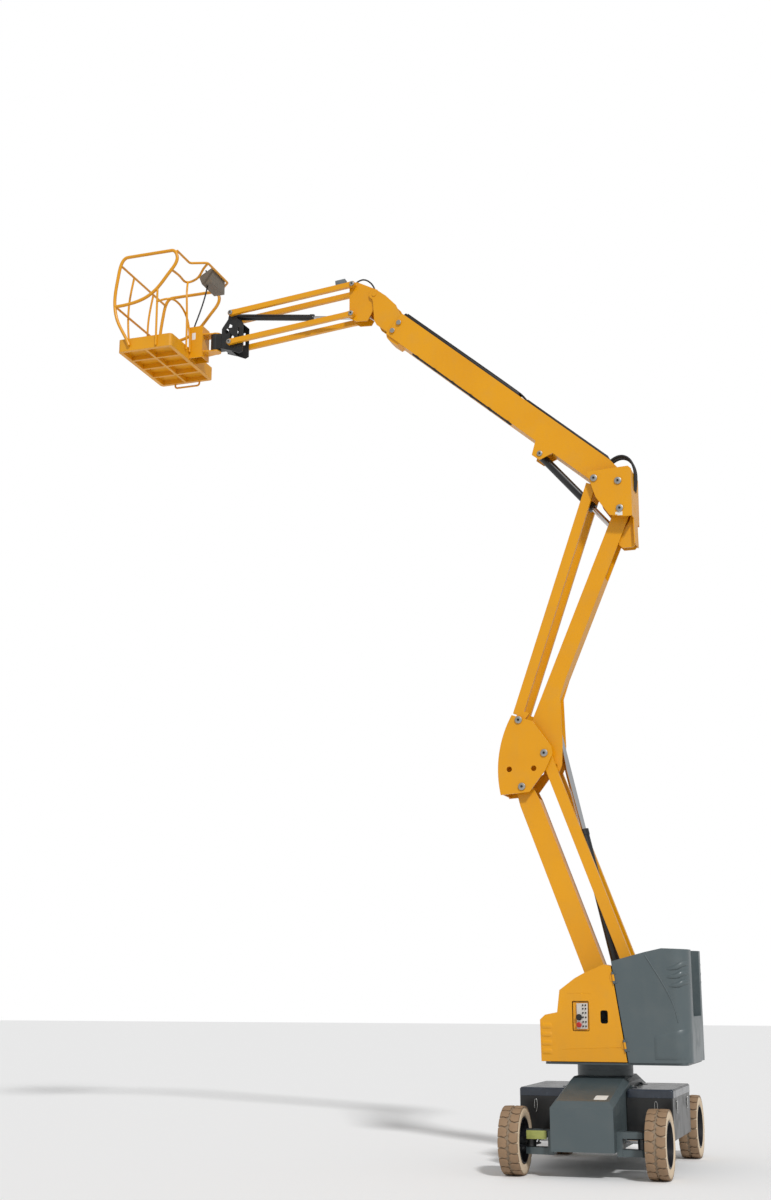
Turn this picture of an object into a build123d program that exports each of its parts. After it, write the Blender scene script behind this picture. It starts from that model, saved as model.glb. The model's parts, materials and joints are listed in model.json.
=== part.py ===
"""Articulating boom lift: a battery machine with a two-stage arm, a telescopic boom and a jib.

Frame: +Z up, the machine's front wheels towards -Y and the slewed boom towards -X, with the
origin on the ground under the middle of the whole machine. All lengths are in millimetres.
Points of the arms are written as (reach, height): reach is measured from the slew axis
towards the basket and height from the ground.
"""
import os
from math import atan2, cos, degrees, radians, sin

from build123d import *

os.makedirs("parts", exist_ok=True)

# ---------------------------------------------------------------- driving dimensions
# Wheels and chassis
WHEEL_RADIUS = 300
WHEEL_WIDTH = 190
RIM_RADIUS = 198
WHEELBASE = 2000
TRACK = 1310
KING_PIN_OFFSET = 505          # lateral, from the machine's middle plane
CHASSIS_LENGTH = 2400
CHASSIS_HALF_WIDTH = 285
CHASSIS_BELLY = 230
CHASSIS_NOSE_TOP = 600
SIDE_BOX_REACH = 715
SIDE_BOX_LENGTH = 1100
SIDE_BOX_FLOOR = 290
SIDE_BOX_RIM = 660
SIDE_LID_HEIGHT = 75
RUNNING_GAP = 5                # between neighbouring pieces that move
FIT_GAP = 0.05                 # radial, pin in bush

# Slewing turret
RING_RADIUS = 265
RING_FLOOR = 830
RING_JOINT = 885
TURRET_FLOOR = 945
TURRET_PLATE = 20
TURRET_HALF_WIDTH = 520
TURRET_FRONT = 506
TURRET_TAIL = 900
HOOD_PEAK = -112               # reach and height of the side hoods' highest point
HOOD_TOP = 1856
HOOD_BROW = 1620               # where the front falls away
HOOD_STEP = 1394               # top of the lower front
TAIL_TOP = 1990
TAIL_JOIN_TOP = 1380           # of the block that joins the counterweight's cheeks
CHANNEL_HALF_WIDTH = 272       # open lane for the arms and their head bracket
HOOD_WALL = 8
MAST_PLATE = 20

# Arms, as side views: (reach, height)
LOWER_PIVOT = Vector(-128, 1300)
LOWER_ARM_LENGTH = 2460
LOWER_ARM_ANGLE = 69.8
LOWER_LINK_OFFSET = Vector(-237, 330)
UPPER_ARM_LENGTH = 2630
UPPER_ARM_ANGLE = 109.2
UPPER_LINK_OFFSET = Vector(258, 350)
ARM_CYLINDER_BASE = Vector(-240, 1450)
ARM_CYLINDER_SEAT = (351, -27)  # on the upper arm: along its pin line, and behind it
UPPER_ARM_FOOT = -180          # the box's axis passes this far behind the lower pin
BOOM_PIVOT_OFFSET = Vector(8, 296)
TONGUE_EYE_OFFSET = Vector(-25, -310)

# Widths of the lanes that pass each other, as distances from the boom's middle plane
ARM_HALF_WIDTH = 90
ARM_CHEEK = 12
LOWER_LINK_LANE = (100, 150)
UPPER_LINK_LANE = (122, 160)
KNUCKLE_LANE = (166, 181)
BRACKET_LANE = (205, 225)
MAST_LANE = (156, 156 + MAST_PLATE)
LOWER_ARM_DEPTH = 207
UPPER_ARM_DEPTH = 168
LOWER_LINK_DEPTH = 110
UPPER_LINK_DEPTH = 104
UPPER_LINK_SET_BACK = 30
FLANGE = 8
PIN_RADIUS = 25
BUSH_RADIUS = 52

# Boom
BOOM_ANGLE = 41.0
BOOM_HALF_WIDTH = 115
BOOM_DEPTH = 290
BOOM_WALL = 8
BOOM_FRONT = 3270              # along the boom, from its pivot
BOOM_REAR_RADIUS = 105
BOOM_EAR = (912, -230)
INNER_HALF_WIDTH = 90
INNER_DEPTH = 240
INNER_REAR = 250
PAD_LENGTH = 130
PAD_WIDTH = 150
PAD_GAP = 0.3
NECK_PIVOT = (3709, 142)
NECK_REAR = BOOM_FRONT + 5
LEVEL_SEAT = (3060, -60)       # foot of the levelling cylinder
LEVEL_CYLINDER_RADIUS = 28
LEVEL_PIN_RADIUS = 16
BOOM_CYLINDER_RADIUS = 45
BOOM_ROD_RADIUS = 27
ARM_CYLINDER_RADIUS = 50
ARM_ROD_RADIUS = 32

# Jib
JIB_BASE_OFFSET = Vector(253, 151)
JIB_POST = Vector(10, -360)
JIB_LENGTH = 1510
JIB_ANGLE = -5.2
JIB_TUBE_LANE = (100, 142)
JIB_TUBE_DEPTH = 60
BASE_LANE = (66, 78)
JIB_HEAD_LANE = (82, 94)
NECK_LANE = (84, 102)
JIB_PIN_RADIUS = 20
JIB_CYLINDER_RADIUS = 36
JIB_ROD_RADIUS = 20

# Basket
ROTATOR_OFFSET = 235           # from the head's upper pin to the basket's turning axis
ROTATOR_RADIUS = 62
BASKET_GAP = 300               # from the turning axis to the basket
BASKET_DEPTH = 680
BASKET_HALF_LENGTH = 565
BASKET_DROP = 503              # of the floor's underside, below the head's upper pin
BASKET_FLOOR = 60
TOE_BOARD = 150
RAIL_HEIGHT = 1110             # of the top rail's centre, above the deck
FRAME_RADIUS = 19              # end frames
RAIL_RADIUS = 14
POST_RADIUS = 12.5
HOOP_BULGE = 58                # of the end frames, beyond the floor's outer edge


def polar(length, angle):
    """A step of this length at this angle above the forward direction."""
    return Vector(length * cos(radians(angle)), length * sin(radians(angle)))


def turned(offset, angle):
    """A (forward, up) offset in a member's own axes, as a step in the side view."""
    return polar(offset[0], angle) + polar(offset[1], angle + 90)


# ---------------------------------------------------------------- pivots of the arms at rest
KNUCKLE_LOW = LOWER_PIVOT + polar(LOWER_ARM_LENGTH, LOWER_ARM_ANGLE)
KNUCKLE_MID = KNUCKLE_LOW + LOWER_LINK_OFFSET
KNUCKLE_TOP = KNUCKLE_MID + UPPER_LINK_OFFSET
LINK_BASE = LOWER_PIVOT + LOWER_LINK_OFFSET
BRACKET_LOW = KNUCKLE_MID + polar(UPPER_ARM_LENGTH, UPPER_ARM_ANGLE)
BRACKET_FRONT = BRACKET_LOW + UPPER_LINK_OFFSET
BOOM_PIVOT = BRACKET_LOW + BOOM_PIVOT_OFFSET
TONGUE_EYE = BRACKET_LOW + TONGUE_EYE_OFFSET
ARM_CYLINDER_EYE = KNUCKLE_MID + turned(ARM_CYLINDER_SEAT, UPPER_ARM_ANGLE)
BOOM_CYLINDER_EYE = BOOM_PIVOT + turned(BOOM_EAR, BOOM_ANGLE)
BOOM_TIP = BOOM_PIVOT + polar(BOOM_FRONT, BOOM_ANGLE)
JIB_BASE_PIVOT = BOOM_PIVOT + turned(NECK_PIVOT, BOOM_ANGLE)
JIB_TOP_INNER = JIB_BASE_PIVOT + JIB_BASE_OFFSET
JIB_LOW_INNER = JIB_TOP_INNER + JIB_POST
JIB_TOP_OUTER = JIB_TOP_INNER + polar(JIB_LENGTH, JIB_ANGLE)
JIB_LOW_OUTER = JIB_TOP_OUTER + JIB_POST
ROTATOR_REACH = JIB_TOP_OUTER.X + ROTATOR_OFFSET
BASKET_INNER = ROTATOR_REACH + BASKET_GAP
BASKET_OUTER = BASKET_INNER + BASKET_DEPTH
SLEW_X = (BASKET_OUTER + HOOP_BULGE + FRAME_RADIUS - TURRET_TAIL) / 2


# ---------------------------------------------------------------- planes and shared forms
def side_plane(y=0):
    """Side view of the boom: local x is reach, local y is height."""
    return Plane(origin=(SLEW_X, y, 0), x_dir=(-1, 0, 0), z_dir=(0, 1, 0))


def member_plane(start, end, y=0):
    """Side view with its origin at start and local x along the member to end."""
    return Plane(
        origin=(SLEW_X - start.X, y, start.Y),
        x_dir=(start.X - end.X, 0, end.Y - start.Y),
        z_dir=(0, 1, 0),
    )


def section_plane(start, end, distance):
    """Cross-section of a member: local x is sideways, local y is up."""
    along = (end - start).normalized()
    origin = start + along * distance
    return Plane(
        origin=(SLEW_X - origin.X, 0, origin.Y),
        x_dir=(0, 1, 0),
        z_dir=(-along.X, 0, along.Y),
    )


def plate(plane, outline, lane, sides=(-1, 1)):
    """Plates with this outline between the two distances of lane, on the given sides."""
    for side in sides:
        low = min(side * lane[0], side * lane[1])
        with BuildSketch(plane.offset(low)) as profile:
            with BuildLine():
                Polyline(*outline, close=True)
            make_face()
        extrude(profile.sketch, amount=lane[1] - lane[0])


def round_bar(plane, centre, radius, span, mode=Mode.ADD):
    """A bar across the side view, from span[0] to span[1] along the plane's normal."""
    with BuildSketch(plane.offset(span[0])) as profile:
        with Locations(centre):
            Circle(radius)
    extrude(profile.sketch, amount=span[1] - span[0], mode=mode)


def stub_pair(plane, centre, radius, lane, mode=Mode.ADD):
    """Two bars across the side view, one in each side's lane."""
    for side in (-1, 1):
        low = min(side * lane[0], side * lane[1])
        round_bar(plane, centre, radius, (low, low + lane[1] - lane[0]), mode)


def box_run(plane, x_span, y_span, half_width, mode=Mode.ADD):
    """A block in a member's side view, centred on the middle plane."""
    with BuildSketch(plane.offset(-half_width)) as profile:
        with Locations(((x_span[0] + x_span[1]) / 2, (y_span[0] + y_span[1]) / 2)):
            Rectangle(x_span[1] - x_span[0], y_span[1] - y_span[0])
    extrude(profile.sketch, amount=2 * half_width, mode=mode)


def export(builder, label):
    builder.part.label = label
    export_step(builder.part, f"parts/{label}.step")


BORE = PIN_RADIUS + FIT_GAP
SIDE = side_plane()

# ================================================================ chassis
# The hood's side view: nose, bevel, slope up to the slew ring, and the same behind
NOSE = CHASSIS_LENGTH / 2
BEVEL = 60
AXLE_Y = WHEELBASE / 2
STEERING_ARM = 160
STEERING_ROD_Y = STEERING_ARM - AXLE_Y
STEERING_ROD_RADIUS = 15
GLAND_LENGTH = 40
LID_GAP = 0.3
LID_HINGE_REACH = CHASSIS_HALF_WIDTH + 18
LID_HINGE_Z = SIDE_BOX_RIM + LID_GAP + SIDE_LID_HEIGHT + 8.5
LID_HINGE_STATIONS = (-280, 280)
LID_SLEEVE = 70
LID_SLEEVE_RADIUS = 9
LID_PIN_RADIUS = 5
with BuildPart() as chassis_frame:
    with BuildSketch(Plane.YZ.offset(SLEW_X - CHASSIS_HALF_WIDTH)):
        with BuildLine():
            Polyline(
                (-NOSE, CHASSIS_BELLY), (-NOSE, CHASSIS_NOSE_TOP),
                (BEVEL - NOSE, CHASSIS_NOSE_TOP + BEVEL), (-RING_RADIUS - 60, RING_FLOOR),
                (RING_RADIUS + 60, RING_FLOOR), (NOSE - BEVEL, CHASSIS_NOSE_TOP + BEVEL),
                (NOSE, CHASSIS_NOSE_TOP), (NOSE, CHASSIS_BELLY), close=True,
            )
        make_face()
    extrude(amount=2 * CHASSIS_HALF_WIDTH)
    # the hood's long top edges are broken by a wide chamfer
    slopes = chassis_frame.edges().filter_by(
        lambda e: abs(e.center().X - SLEW_X) > CHASSIS_HALF_WIDTH - 1
        and e.center().Z > CHASSIS_NOSE_TOP + BEVEL / 2 and e.length > 200
    )
    chamfer(slopes, 45)
    with BuildSketch(Plane.XY.offset(RING_FLOOR)):
        with Locations((SLEW_X, 0)):
            Circle(RING_RADIUS)
    extrude(amount=RING_JOINT - RING_FLOOR)
    # the steering cylinder lies across the hood, with a gland at each side
    steering_plane = Plane.YZ.offset(SLEW_X - CHASSIS_HALF_WIDTH - GLAND_LENGTH)
    gland_span = 2 * (CHASSIS_HALF_WIDTH + GLAND_LENGTH)
    round_bar(steering_plane, (STEERING_ROD_Y, WHEEL_RADIUS), 30, (0, gland_span))
    round_bar(
        steering_plane, (STEERING_ROD_Y, WHEEL_RADIUS), STEERING_ROD_RADIUS + FIT_GAP,
        (0, gland_span), Mode.SUBTRACT,
    )
    # lugs and pins of the battery lids' hinges, on the hood's sides
    for side in (-1, 1):
        for station in LID_HINGE_STATIONS:
            for start in (station - LID_SLEEVE / 2 - 8.5, station + LID_SLEEVE / 2 + 0.5):
                with BuildSketch(Plane.XZ.offset(-start)):
                    lug_middle = (CHASSIS_HALF_WIDTH + LID_HINGE_REACH) / 2
                    with Locations((SLEW_X + side * lug_middle, LID_HINGE_Z)):
                        Rectangle(LID_HINGE_REACH - CHASSIS_HALF_WIDTH + 8, 14)
                    with Locations((SLEW_X + side * LID_HINGE_REACH, LID_HINGE_Z)):
                        Circle(7)
                extrude(amount=-8)
            with BuildSketch(Plane.XZ.offset(LID_SLEEVE / 2 + 8 - station)):
                with Locations((SLEW_X + side * LID_HINGE_REACH, LID_HINGE_Z)):
                    Circle(LID_PIN_RADIUS)
            extrude(amount=-LID_SLEEVE - 16)
export(chassis_frame, "chassis_frame")

# Front axle: a yoke with an upper and a lower arm at each end, bored for its king pins
YOKE_UPPER = (345, 400)
YOKE_LOWER = (190, 250)
YOKE_TIP = KING_PIN_OFFSET + 45
KING_PIN_RADIUS = 20
with BuildPart() as front_axle:
    for z_low, z_high in (YOKE_UPPER, YOKE_LOWER):
        for side in (-1, 1):
            with BuildSketch(Plane.XY.offset(z_low)):
                with BuildLine():
                    Polyline(
                        (SLEW_X + side * CHASSIS_HALF_WIDTH, -AXLE_Y - 75),
                        (SLEW_X + side * (YOKE_TIP - 45), -AXLE_Y - 45),
                        (SLEW_X + side * YOKE_TIP, -AXLE_Y - 20),
                        (SLEW_X + side * YOKE_TIP, -AXLE_Y + 20),
                        (SLEW_X + side * (YOKE_TIP - 45), -AXLE_Y + 45),
                        (SLEW_X + side * CHASSIS_HALF_WIDTH, -AXLE_Y + 75), close=True,
                    )
                make_face()
                with Locations((SLEW_X + side * KING_PIN_OFFSET, -AXLE_Y)):
                    Circle(KING_PIN_RADIUS + FIT_GAP, mode=Mode.SUBTRACT)
            extrude(amount=z_high - z_low)
    with BuildSketch(Plane.XY.offset(YOKE_LOWER[0])):
        for side in (-1, 1):
            with Locations((SLEW_X + side * (CHASSIS_HALF_WIDTH + 25), -AXLE_Y)):
                Rectangle(50, 150)
    extrude(amount=YOKE_UPPER[1] - YOKE_LOWER[0])
export(front_axle, "front_axle")

# Rear axle: a beam through the hood with a drive housing and a spindle at each end
HUB_INNER = TRACK / 2 - 45     # where the spindle enters the wheel's hub
SPINDLE_RADIUS = 35
SPINDLE_END = TRACK / 2 + 15
with BuildPart() as rear_axle:
    for side in (-1, 1):
        for half_depth, radius, x_from, x_to in (
            (75, None, CHASSIS_HALF_WIDTH, HUB_INNER - 60),
            (None, 60, HUB_INNER - 60, HUB_INNER),
            (None, SPINDLE_RADIUS, HUB_INNER, SPINDLE_END),
        ):
            x_low = min(side * x_from, side * x_to)
            with BuildSketch(Plane.YZ.offset(SLEW_X + x_low)):
                with Locations((AXLE_Y, WHEEL_RADIUS)):
                    if radius:
                        Circle(radius)
                    else:
                        Rectangle(2 * half_depth, 130)
            extrude(amount=x_to - x_from)
export(rear_axle, "rear_axle")

# Steering knuckles: a boss on the king pin, a spindle for the wheel and a steering arm
STEERING_PIN_REACH = KING_PIN_OFFSET - 30
STEERING_PIN_RADIUS = 9
ARM_PLATE = (262, 277)
for side, name in ((1, "left"), (-1, "right")):
    with BuildPart() as steering_knuckle:
        with BuildSketch(Plane.XY.offset(YOKE_LOWER[1] + RUNNING_GAP)):
            with Locations((SLEW_X + side * KING_PIN_OFFSET, -AXLE_Y)):
                Circle(45)
        extrude(amount=YOKE_UPPER[0] - YOKE_LOWER[1] - 2 * RUNNING_GAP)
        with BuildSketch(Plane.XY.offset(YOKE_LOWER[0])):
            with Locations((SLEW_X + side * KING_PIN_OFFSET, -AXLE_Y)):
                Circle(KING_PIN_RADIUS)
        extrude(amount=YOKE_UPPER[1] - YOKE_LOWER[0] + 6)
        x_low = min(side * KING_PIN_OFFSET, side * SPINDLE_END)
        round_bar(
            Plane.YZ.offset(SLEW_X + x_low), (-AXLE_Y, WHEEL_RADIUS), SPINDLE_RADIUS,
            (0, SPINDLE_END - KING_PIN_OFFSET),
        )
        with BuildSketch(Plane.XY.offset(ARM_PLATE[0])):
            with BuildLine():
                Polyline(
                    (SLEW_X + side * (KING_PIN_OFFSET - 30), -AXLE_Y - 20),
                    (SLEW_X + side * (KING_PIN_OFFSET + 25), -AXLE_Y + 20),
                    (SLEW_X + side * (STEERING_PIN_REACH + 20), STEERING_ROD_Y + 10),
                    (SLEW_X + side * (STEERING_PIN_REACH + 10), STEERING_ROD_Y + 20),
                    (SLEW_X + side * (STEERING_PIN_REACH - 10), STEERING_ROD_Y + 20),
                    (SLEW_X + side * (STEERING_PIN_REACH - 20), STEERING_ROD_Y + 10),
                    close=True,
                )
            make_face()
        extrude(amount=ARM_PLATE[1] - ARM_PLATE[0])
        with BuildSketch(Plane.XY.offset(ARM_PLATE[1])):
            with Locations((SLEW_X + side * STEERING_PIN_REACH, STEERING_ROD_Y)):
                Circle(STEERING_PIN_RADIUS)
        extrude(amount=40)
    export(steering_knuckle, f"steering_knuckle_{name}")

# Steering rod: through the glands, with a slotted plate over each steering arm's pin
SLOT_LENGTH = 82               # the pin swings towards the axle, so the slot lies that way
SLOT_SHIFT = -22
SLOT_WIDTH = 2 * STEERING_PIN_RADIUS + 16
with BuildPart() as steering_rod:
    round_bar(
        Plane.YZ.offset(SLEW_X - STEERING_PIN_REACH + 25), (STEERING_ROD_Y, WHEEL_RADIUS),
        STEERING_ROD_RADIUS, (0, 2 * STEERING_PIN_REACH - 50),
    )
    slots = [(SLEW_X + side * STEERING_PIN_REACH, STEERING_ROD_Y + SLOT_SHIFT) for side in (-1, 1)]
    with BuildSketch(Plane.XY.offset(WHEEL_RADIUS - 6)):
        with Locations(*slots):
            SlotOverall(SLOT_LENGTH + 32, SLOT_WIDTH + 32, rotation=90)
    extrude(amount=12)
    with BuildSketch(Plane.XY.offset(WHEEL_RADIUS - 20)):
        with Locations(*slots):
            SlotOverall(SLOT_LENGTH, SLOT_WIDTH, rotation=90)
    extrude(amount=40, mode=Mode.SUBTRACT)
export(steering_rod, "steering_rod")

# Wheels: a deep dished rim with a closed hub, and a solid tyre with round shoulders
HUB_RADIUS = 60
RIM_WALL = 13
SHOULDER = 26
for x_side, y_side, name in (
    (1, -1, "front_left"), (-1, -1, "front_right"), (1, 1, "rear_left"), (-1, 1, "rear_right"),
):
    # local x runs outwards along the wheel's own axle, local y is the radius
    wheel_plane = Plane(
        origin=(SLEW_X + x_side * TRACK / 2, y_side * AXLE_Y, WHEEL_RADIUS),
        x_dir=(x_side, 0, 0), z_dir=(0, -x_side, 0),
    )
    axle_axis = Axis(wheel_plane.origin, wheel_plane.x_dir)
    half = WHEEL_WIDTH / 2
    with BuildPart() as rim:
        with BuildSketch(wheel_plane):
            with BuildLine():
                Polyline(
                    (-45, SPINDLE_RADIUS + FIT_GAP), (18, SPINDLE_RADIUS + FIT_GAP), (18, 0),
                    (34, 0), (34, 30), (20, 48), (4, HUB_RADIUS), (4, 150), (30, RIM_RADIUS - RIM_WALL),
                    (half - 6, RIM_RADIUS - RIM_WALL + 4), (half - 6, RIM_RADIUS),
                    (6 - half, RIM_RADIUS), (6 - half, RIM_RADIUS - RIM_WALL + 4),
                    (0, RIM_RADIUS - RIM_WALL), (-10, 150), (-10, HUB_RADIUS), (-40, HUB_RADIUS),
                    close=True,
                )
            make_face()
        revolve(axis=axle_axis)
    export(rim, f"rim_{name}")
    with BuildPart() as tyre:
        with BuildSketch(wheel_plane):
            with BuildLine():
                Polyline(
                    (6 - half, RIM_RADIUS), (-half, RIM_RADIUS + 12), (-half, WHEEL_RADIUS - SHOULDER),
                )
                RadiusArc((-half, WHEEL_RADIUS - SHOULDER), (SHOULDER - half, WHEEL_RADIUS), SHOULDER)
                Line((SHOULDER - half, WHEEL_RADIUS), (half - SHOULDER, WHEEL_RADIUS))
                RadiusArc((half - SHOULDER, WHEEL_RADIUS), (half, WHEEL_RADIUS - SHOULDER), SHOULDER)
                Polyline(
                    (half, WHEEL_RADIUS - SHOULDER), (half, RIM_RADIUS + 12), (half - 6, RIM_RADIUS),
                    (6 - half, RIM_RADIUS),
                )
            make_face()
        revolve(axis=axle_axis)
    export(tyre, f"tyre_{name}")

# Battery boxes at the sides of the hood: open trays, their batteries and hinged lids
BOX_WALL = 8
BOX_INNER = CHASSIS_HALF_WIDTH
with BuildPart() as battery_boxes:
    for side in (-1, 1):
        centre = side * (BOX_INNER + SIDE_BOX_REACH) / 2
        with BuildSketch(Plane.XY.offset(SIDE_BOX_FLOOR)):
            with Locations((SLEW_X + centre, 0)):
                RectangleRounded(SIDE_BOX_REACH - BOX_INNER, SIDE_BOX_LENGTH, 12)
        extrude(amount=SIDE_BOX_RIM - SIDE_BOX_FLOOR)
        with BuildSketch(Plane.XY.offset(SIDE_BOX_FLOOR + BOX_WALL)):
            with Locations((SLEW_X + centre, 0)):
                Rectangle(SIDE_BOX_REACH - BOX_INNER - 2 * BOX_WALL, SIDE_BOX_LENGTH - 2 * BOX_WALL)
        extrude(amount=SIDE_BOX_RIM - SIDE_BOX_FLOOR, mode=Mode.SUBTRACT)
export(battery_boxes, "battery_boxes")
with BuildPart() as batteries:
    for side in (-1, 1):
        centre = side * (BOX_INNER + SIDE_BOX_REACH) / 2
        with BuildSketch(Plane.XY.offset(SIDE_BOX_FLOOR + BOX_WALL)):
            with Locations((SLEW_X + centre, 0)):
                Rectangle(SIDE_BOX_REACH - BOX_INNER - 4 * BOX_WALL, SIDE_BOX_LENGTH - 6 * BOX_WALL)
        extrude(amount=280)
export(batteries, "batteries")
for side, name in ((1, "left"), (-1, "right")):
    centre = side * (BOX_INNER + SIDE_BOX_REACH + 2 * RUNNING_GAP) / 2
    width = SIDE_BOX_REACH - BOX_INNER - 2 * RUNNING_GAP + 10
    with BuildPart() as battery_lid:
        with BuildSketch(Plane.XY.offset(SIDE_BOX_RIM + LID_GAP)):
            with Locations((SLEW_X + centre, 0)):
                RectangleRounded(width, SIDE_BOX_LENGTH, 30)
        extrude(amount=SIDE_LID_HEIGHT)
        chamfer(battery_lid.faces().sort_by(Axis.Z)[-1].edges(), 14)
        with BuildSketch(Plane.XY.offset(SIDE_BOX_RIM + LID_GAP)):
            with Locations((SLEW_X + centre, 0)):
                RectangleRounded(width - 12, SIDE_BOX_LENGTH - 12, 24)
        extrude(amount=SIDE_LID_HEIGHT - 25, mode=Mode.SUBTRACT)
        # hinge sleeves along the inner edge, each with a leaf on the lid's top
        for station in LID_HINGE_STATIONS:
            with BuildSketch(Plane.XZ.offset(LID_SLEEVE / 2 - station)):
                with Locations((SLEW_X + side * LID_HINGE_REACH, LID_HINGE_Z)):
                    Circle(LID_SLEEVE_RADIUS)
                with Locations((SLEW_X + side * (LID_HINGE_REACH + 25), LID_HINGE_Z - 7)):
                    Rectangle(46, 6)
            extrude(amount=-LID_SLEEVE)
            with BuildSketch(Plane.XZ.offset(LID_SLEEVE / 2 - station)):
                with Locations((SLEW_X + side * LID_HINGE_REACH, LID_HINGE_Z)):
                    Circle(LID_PIN_RADIUS + FIT_GAP)
            extrude(amount=-LID_SLEEVE, mode=Mode.SUBTRACT)
    export(battery_lid, f"battery_lid_{name}")

# ================================================================ turret
# Plan view of the turret: local x is reach, local y is to the turret's left
def plan_plane(z):
    return Plane(origin=(SLEW_X, 0, z), x_dir=(-1, 0, 0), z_dir=(0, 0, 1))


FLOOR_TOP = TURRET_FLOOR + TURRET_PLATE
RING_GAP = 0.3
SIDE_FRAME_LANE = (256, 266)
with BuildPart() as turntable:
    with BuildSketch(plan_plane(RING_JOINT + RING_GAP)):
        Circle(RING_RADIUS)
    extrude(amount=TURRET_FLOOR - RING_JOINT - RING_GAP)
    with BuildSketch(plan_plane(TURRET_FLOOR)):
        with Locations((-190, 0)):
            RectangleRounded(1340, 2 * (TURRET_HALF_WIDTH - 16), 60)
    extrude(amount=TURRET_PLATE)
    # upright frame plates between the arms' lane and the machinery at each side
    plate(SIDE, (
        (-480, FLOOR_TOP), (470, FLOOR_TOP), (470, 1250), (300, 1400), (300, 1580),
        (60, 1760), (-150, 1800), (-480, 1800),
    ), SIDE_FRAME_LANE)
export(turntable, "turntable")

# Mast: two plates that carry the lower arm, its links and the arm cylinder's foot
with BuildPart() as mast:
    plate(SIDE, (
        (-490, FLOOR_TOP), (300, FLOOR_TOP), (130, 1120), (0, 1230), (-45, 1400),
        (-150, 1520), (-290, 1700), (-420, 1710), (-455, 1600), (-490, 1250),
    ), MAST_LANE)
    box_run(SIDE, (-490, -470), (FLOOR_TOP, 1200), MAST_LANE[1])
    box_run(SIDE, (80, 100), (FLOOR_TOP, 1115), MAST_LANE[1])
    # pins of the lower arm and the cylinder's foot run right across
    for pivot, inner in ((LOWER_PIVOT, ARM_HALF_WIDTH + 4), (ARM_CYLINDER_BASE, ARM_CYLINDER_RADIUS + 6)):
        round_bar(SIDE, pivot, PIN_RADIUS, (-MAST_LANE[1] - 8, MAST_LANE[1] + 8))
        stub_pair(SIDE, pivot, 42, (inner, MAST_LANE[0]))
    # pins of the links stop short of the middle
    stub_pair(SIDE, LINK_BASE, PIN_RADIUS, (LOWER_LINK_LANE[0] - 4, MAST_LANE[1] + 8))
export(mast, "mast")

# The side hoods' hinges: sleeves on the hood, and lugs with a pin on the counterweight
HOOD_HINGE_LOW = Vector(-312, 970)
HOOD_HINGE_HIGH = Vector(-186, 1850)
HINGE_STATIONS = (120, 740)
HINGE_SLEEVE = 60
HINGE_LUG = 25
HINGE_RADIUS = 11
HINGE_PIN_RADIUS = 6
HINGE_LEAF = (3, 34)
HINGE_LATERAL = TURRET_HALF_WIDTH + HINGE_RADIUS


def hinge_knuckles(side, spans, way):
    """Knuckles over these spans of the hinge line, each with a leaf that runs the given way."""
    line = member_plane(HOOD_HINGE_LOW, HOOD_HINGE_HIGH)
    for low, high in spans:
        centre = HOOD_HINGE_LOW + (HOOD_HINGE_HIGH - HOOD_HINGE_LOW).normalized() * low
        with BuildSketch(section_plane(centre, HOOD_HINGE_HIGH, 0)) as barrel:
            with Locations((side * HINGE_LATERAL, 0)):
                Circle(HINGE_RADIUS)
        extrude(barrel.sketch, amount=high - low)
        lateral = min(side * TURRET_HALF_WIDTH, side * (TURRET_HALF_WIDTH + HINGE_LEAF[0]))
        with BuildSketch(line.offset(lateral)) as leaf:
            with Locations(((low + high) / 2, way * HINGE_LEAF[1] / 2)):
                Rectangle(high - low, HINGE_LEAF[1])
        extrude(leaf.sketch, amount=HINGE_LEAF[0])


def hinge_pins(side, radius, mode=Mode.ADD):
    """The pin, or its bore, at each station of a hood's hinge line."""
    for station in HINGE_STATIONS:
        with BuildSketch(section_plane(HOOD_HINGE_LOW, HOOD_HINGE_HIGH, station - HINGE_LUG)) as pin:
            with Locations((side * HINGE_LATERAL, 0)):
                Circle(radius)
        extrude(pin.sketch, amount=HINGE_SLEEVE + 2 * HINGE_LUG, mode=mode)


# Counterweight: a cheek each side of the lane, joined low down behind the mast
CHEEK_FRONT_LOW = -318
CHEEK_FRONT_HIGH = -184
with BuildPart() as counterweight:
    plate(SIDE, (
        (CHEEK_FRONT_LOW, FLOOR_TOP), (CHEEK_FRONT_HIGH, TAIL_TOP - 107),
        (CHEEK_FRONT_HIGH - 316, TAIL_TOP - 24), (-TURRET_TAIL + 240, TAIL_TOP + 10),
        (-TURRET_TAIL, TAIL_TOP), (-TURRET_TAIL, FLOOR_TOP),
    ), (CHANNEL_HALF_WIDTH, TURRET_HALF_WIDTH))
    box_run(SIDE, (-TURRET_TAIL, -TURRET_TAIL + 400), (FLOOR_TOP, TAIL_JOIN_TOP), CHANNEL_HALF_WIDTH)
    tail_corners = counterweight.edges().filter_by(Axis.Z).filter_by(
        lambda e: abs(abs(e.center().Y) - TURRET_HALF_WIDTH) < 1
        and e.center().X > SLEW_X + TURRET_TAIL - 1
    )
    fillet(tail_corners, 150)
    for side in (-1, 1):
        lugs = [(s - HINGE_LUG, s - 0.3) for s in HINGE_STATIONS]
        lugs += [(s + HINGE_SLEEVE + 0.3, s + HINGE_SLEEVE + HINGE_LUG) for s in HINGE_STATIONS]
        hinge_knuckles(side, lugs, 1)
        hinge_pins(side, HINGE_PIN_RADIUS)
export(counterweight, "counterweight")

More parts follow.
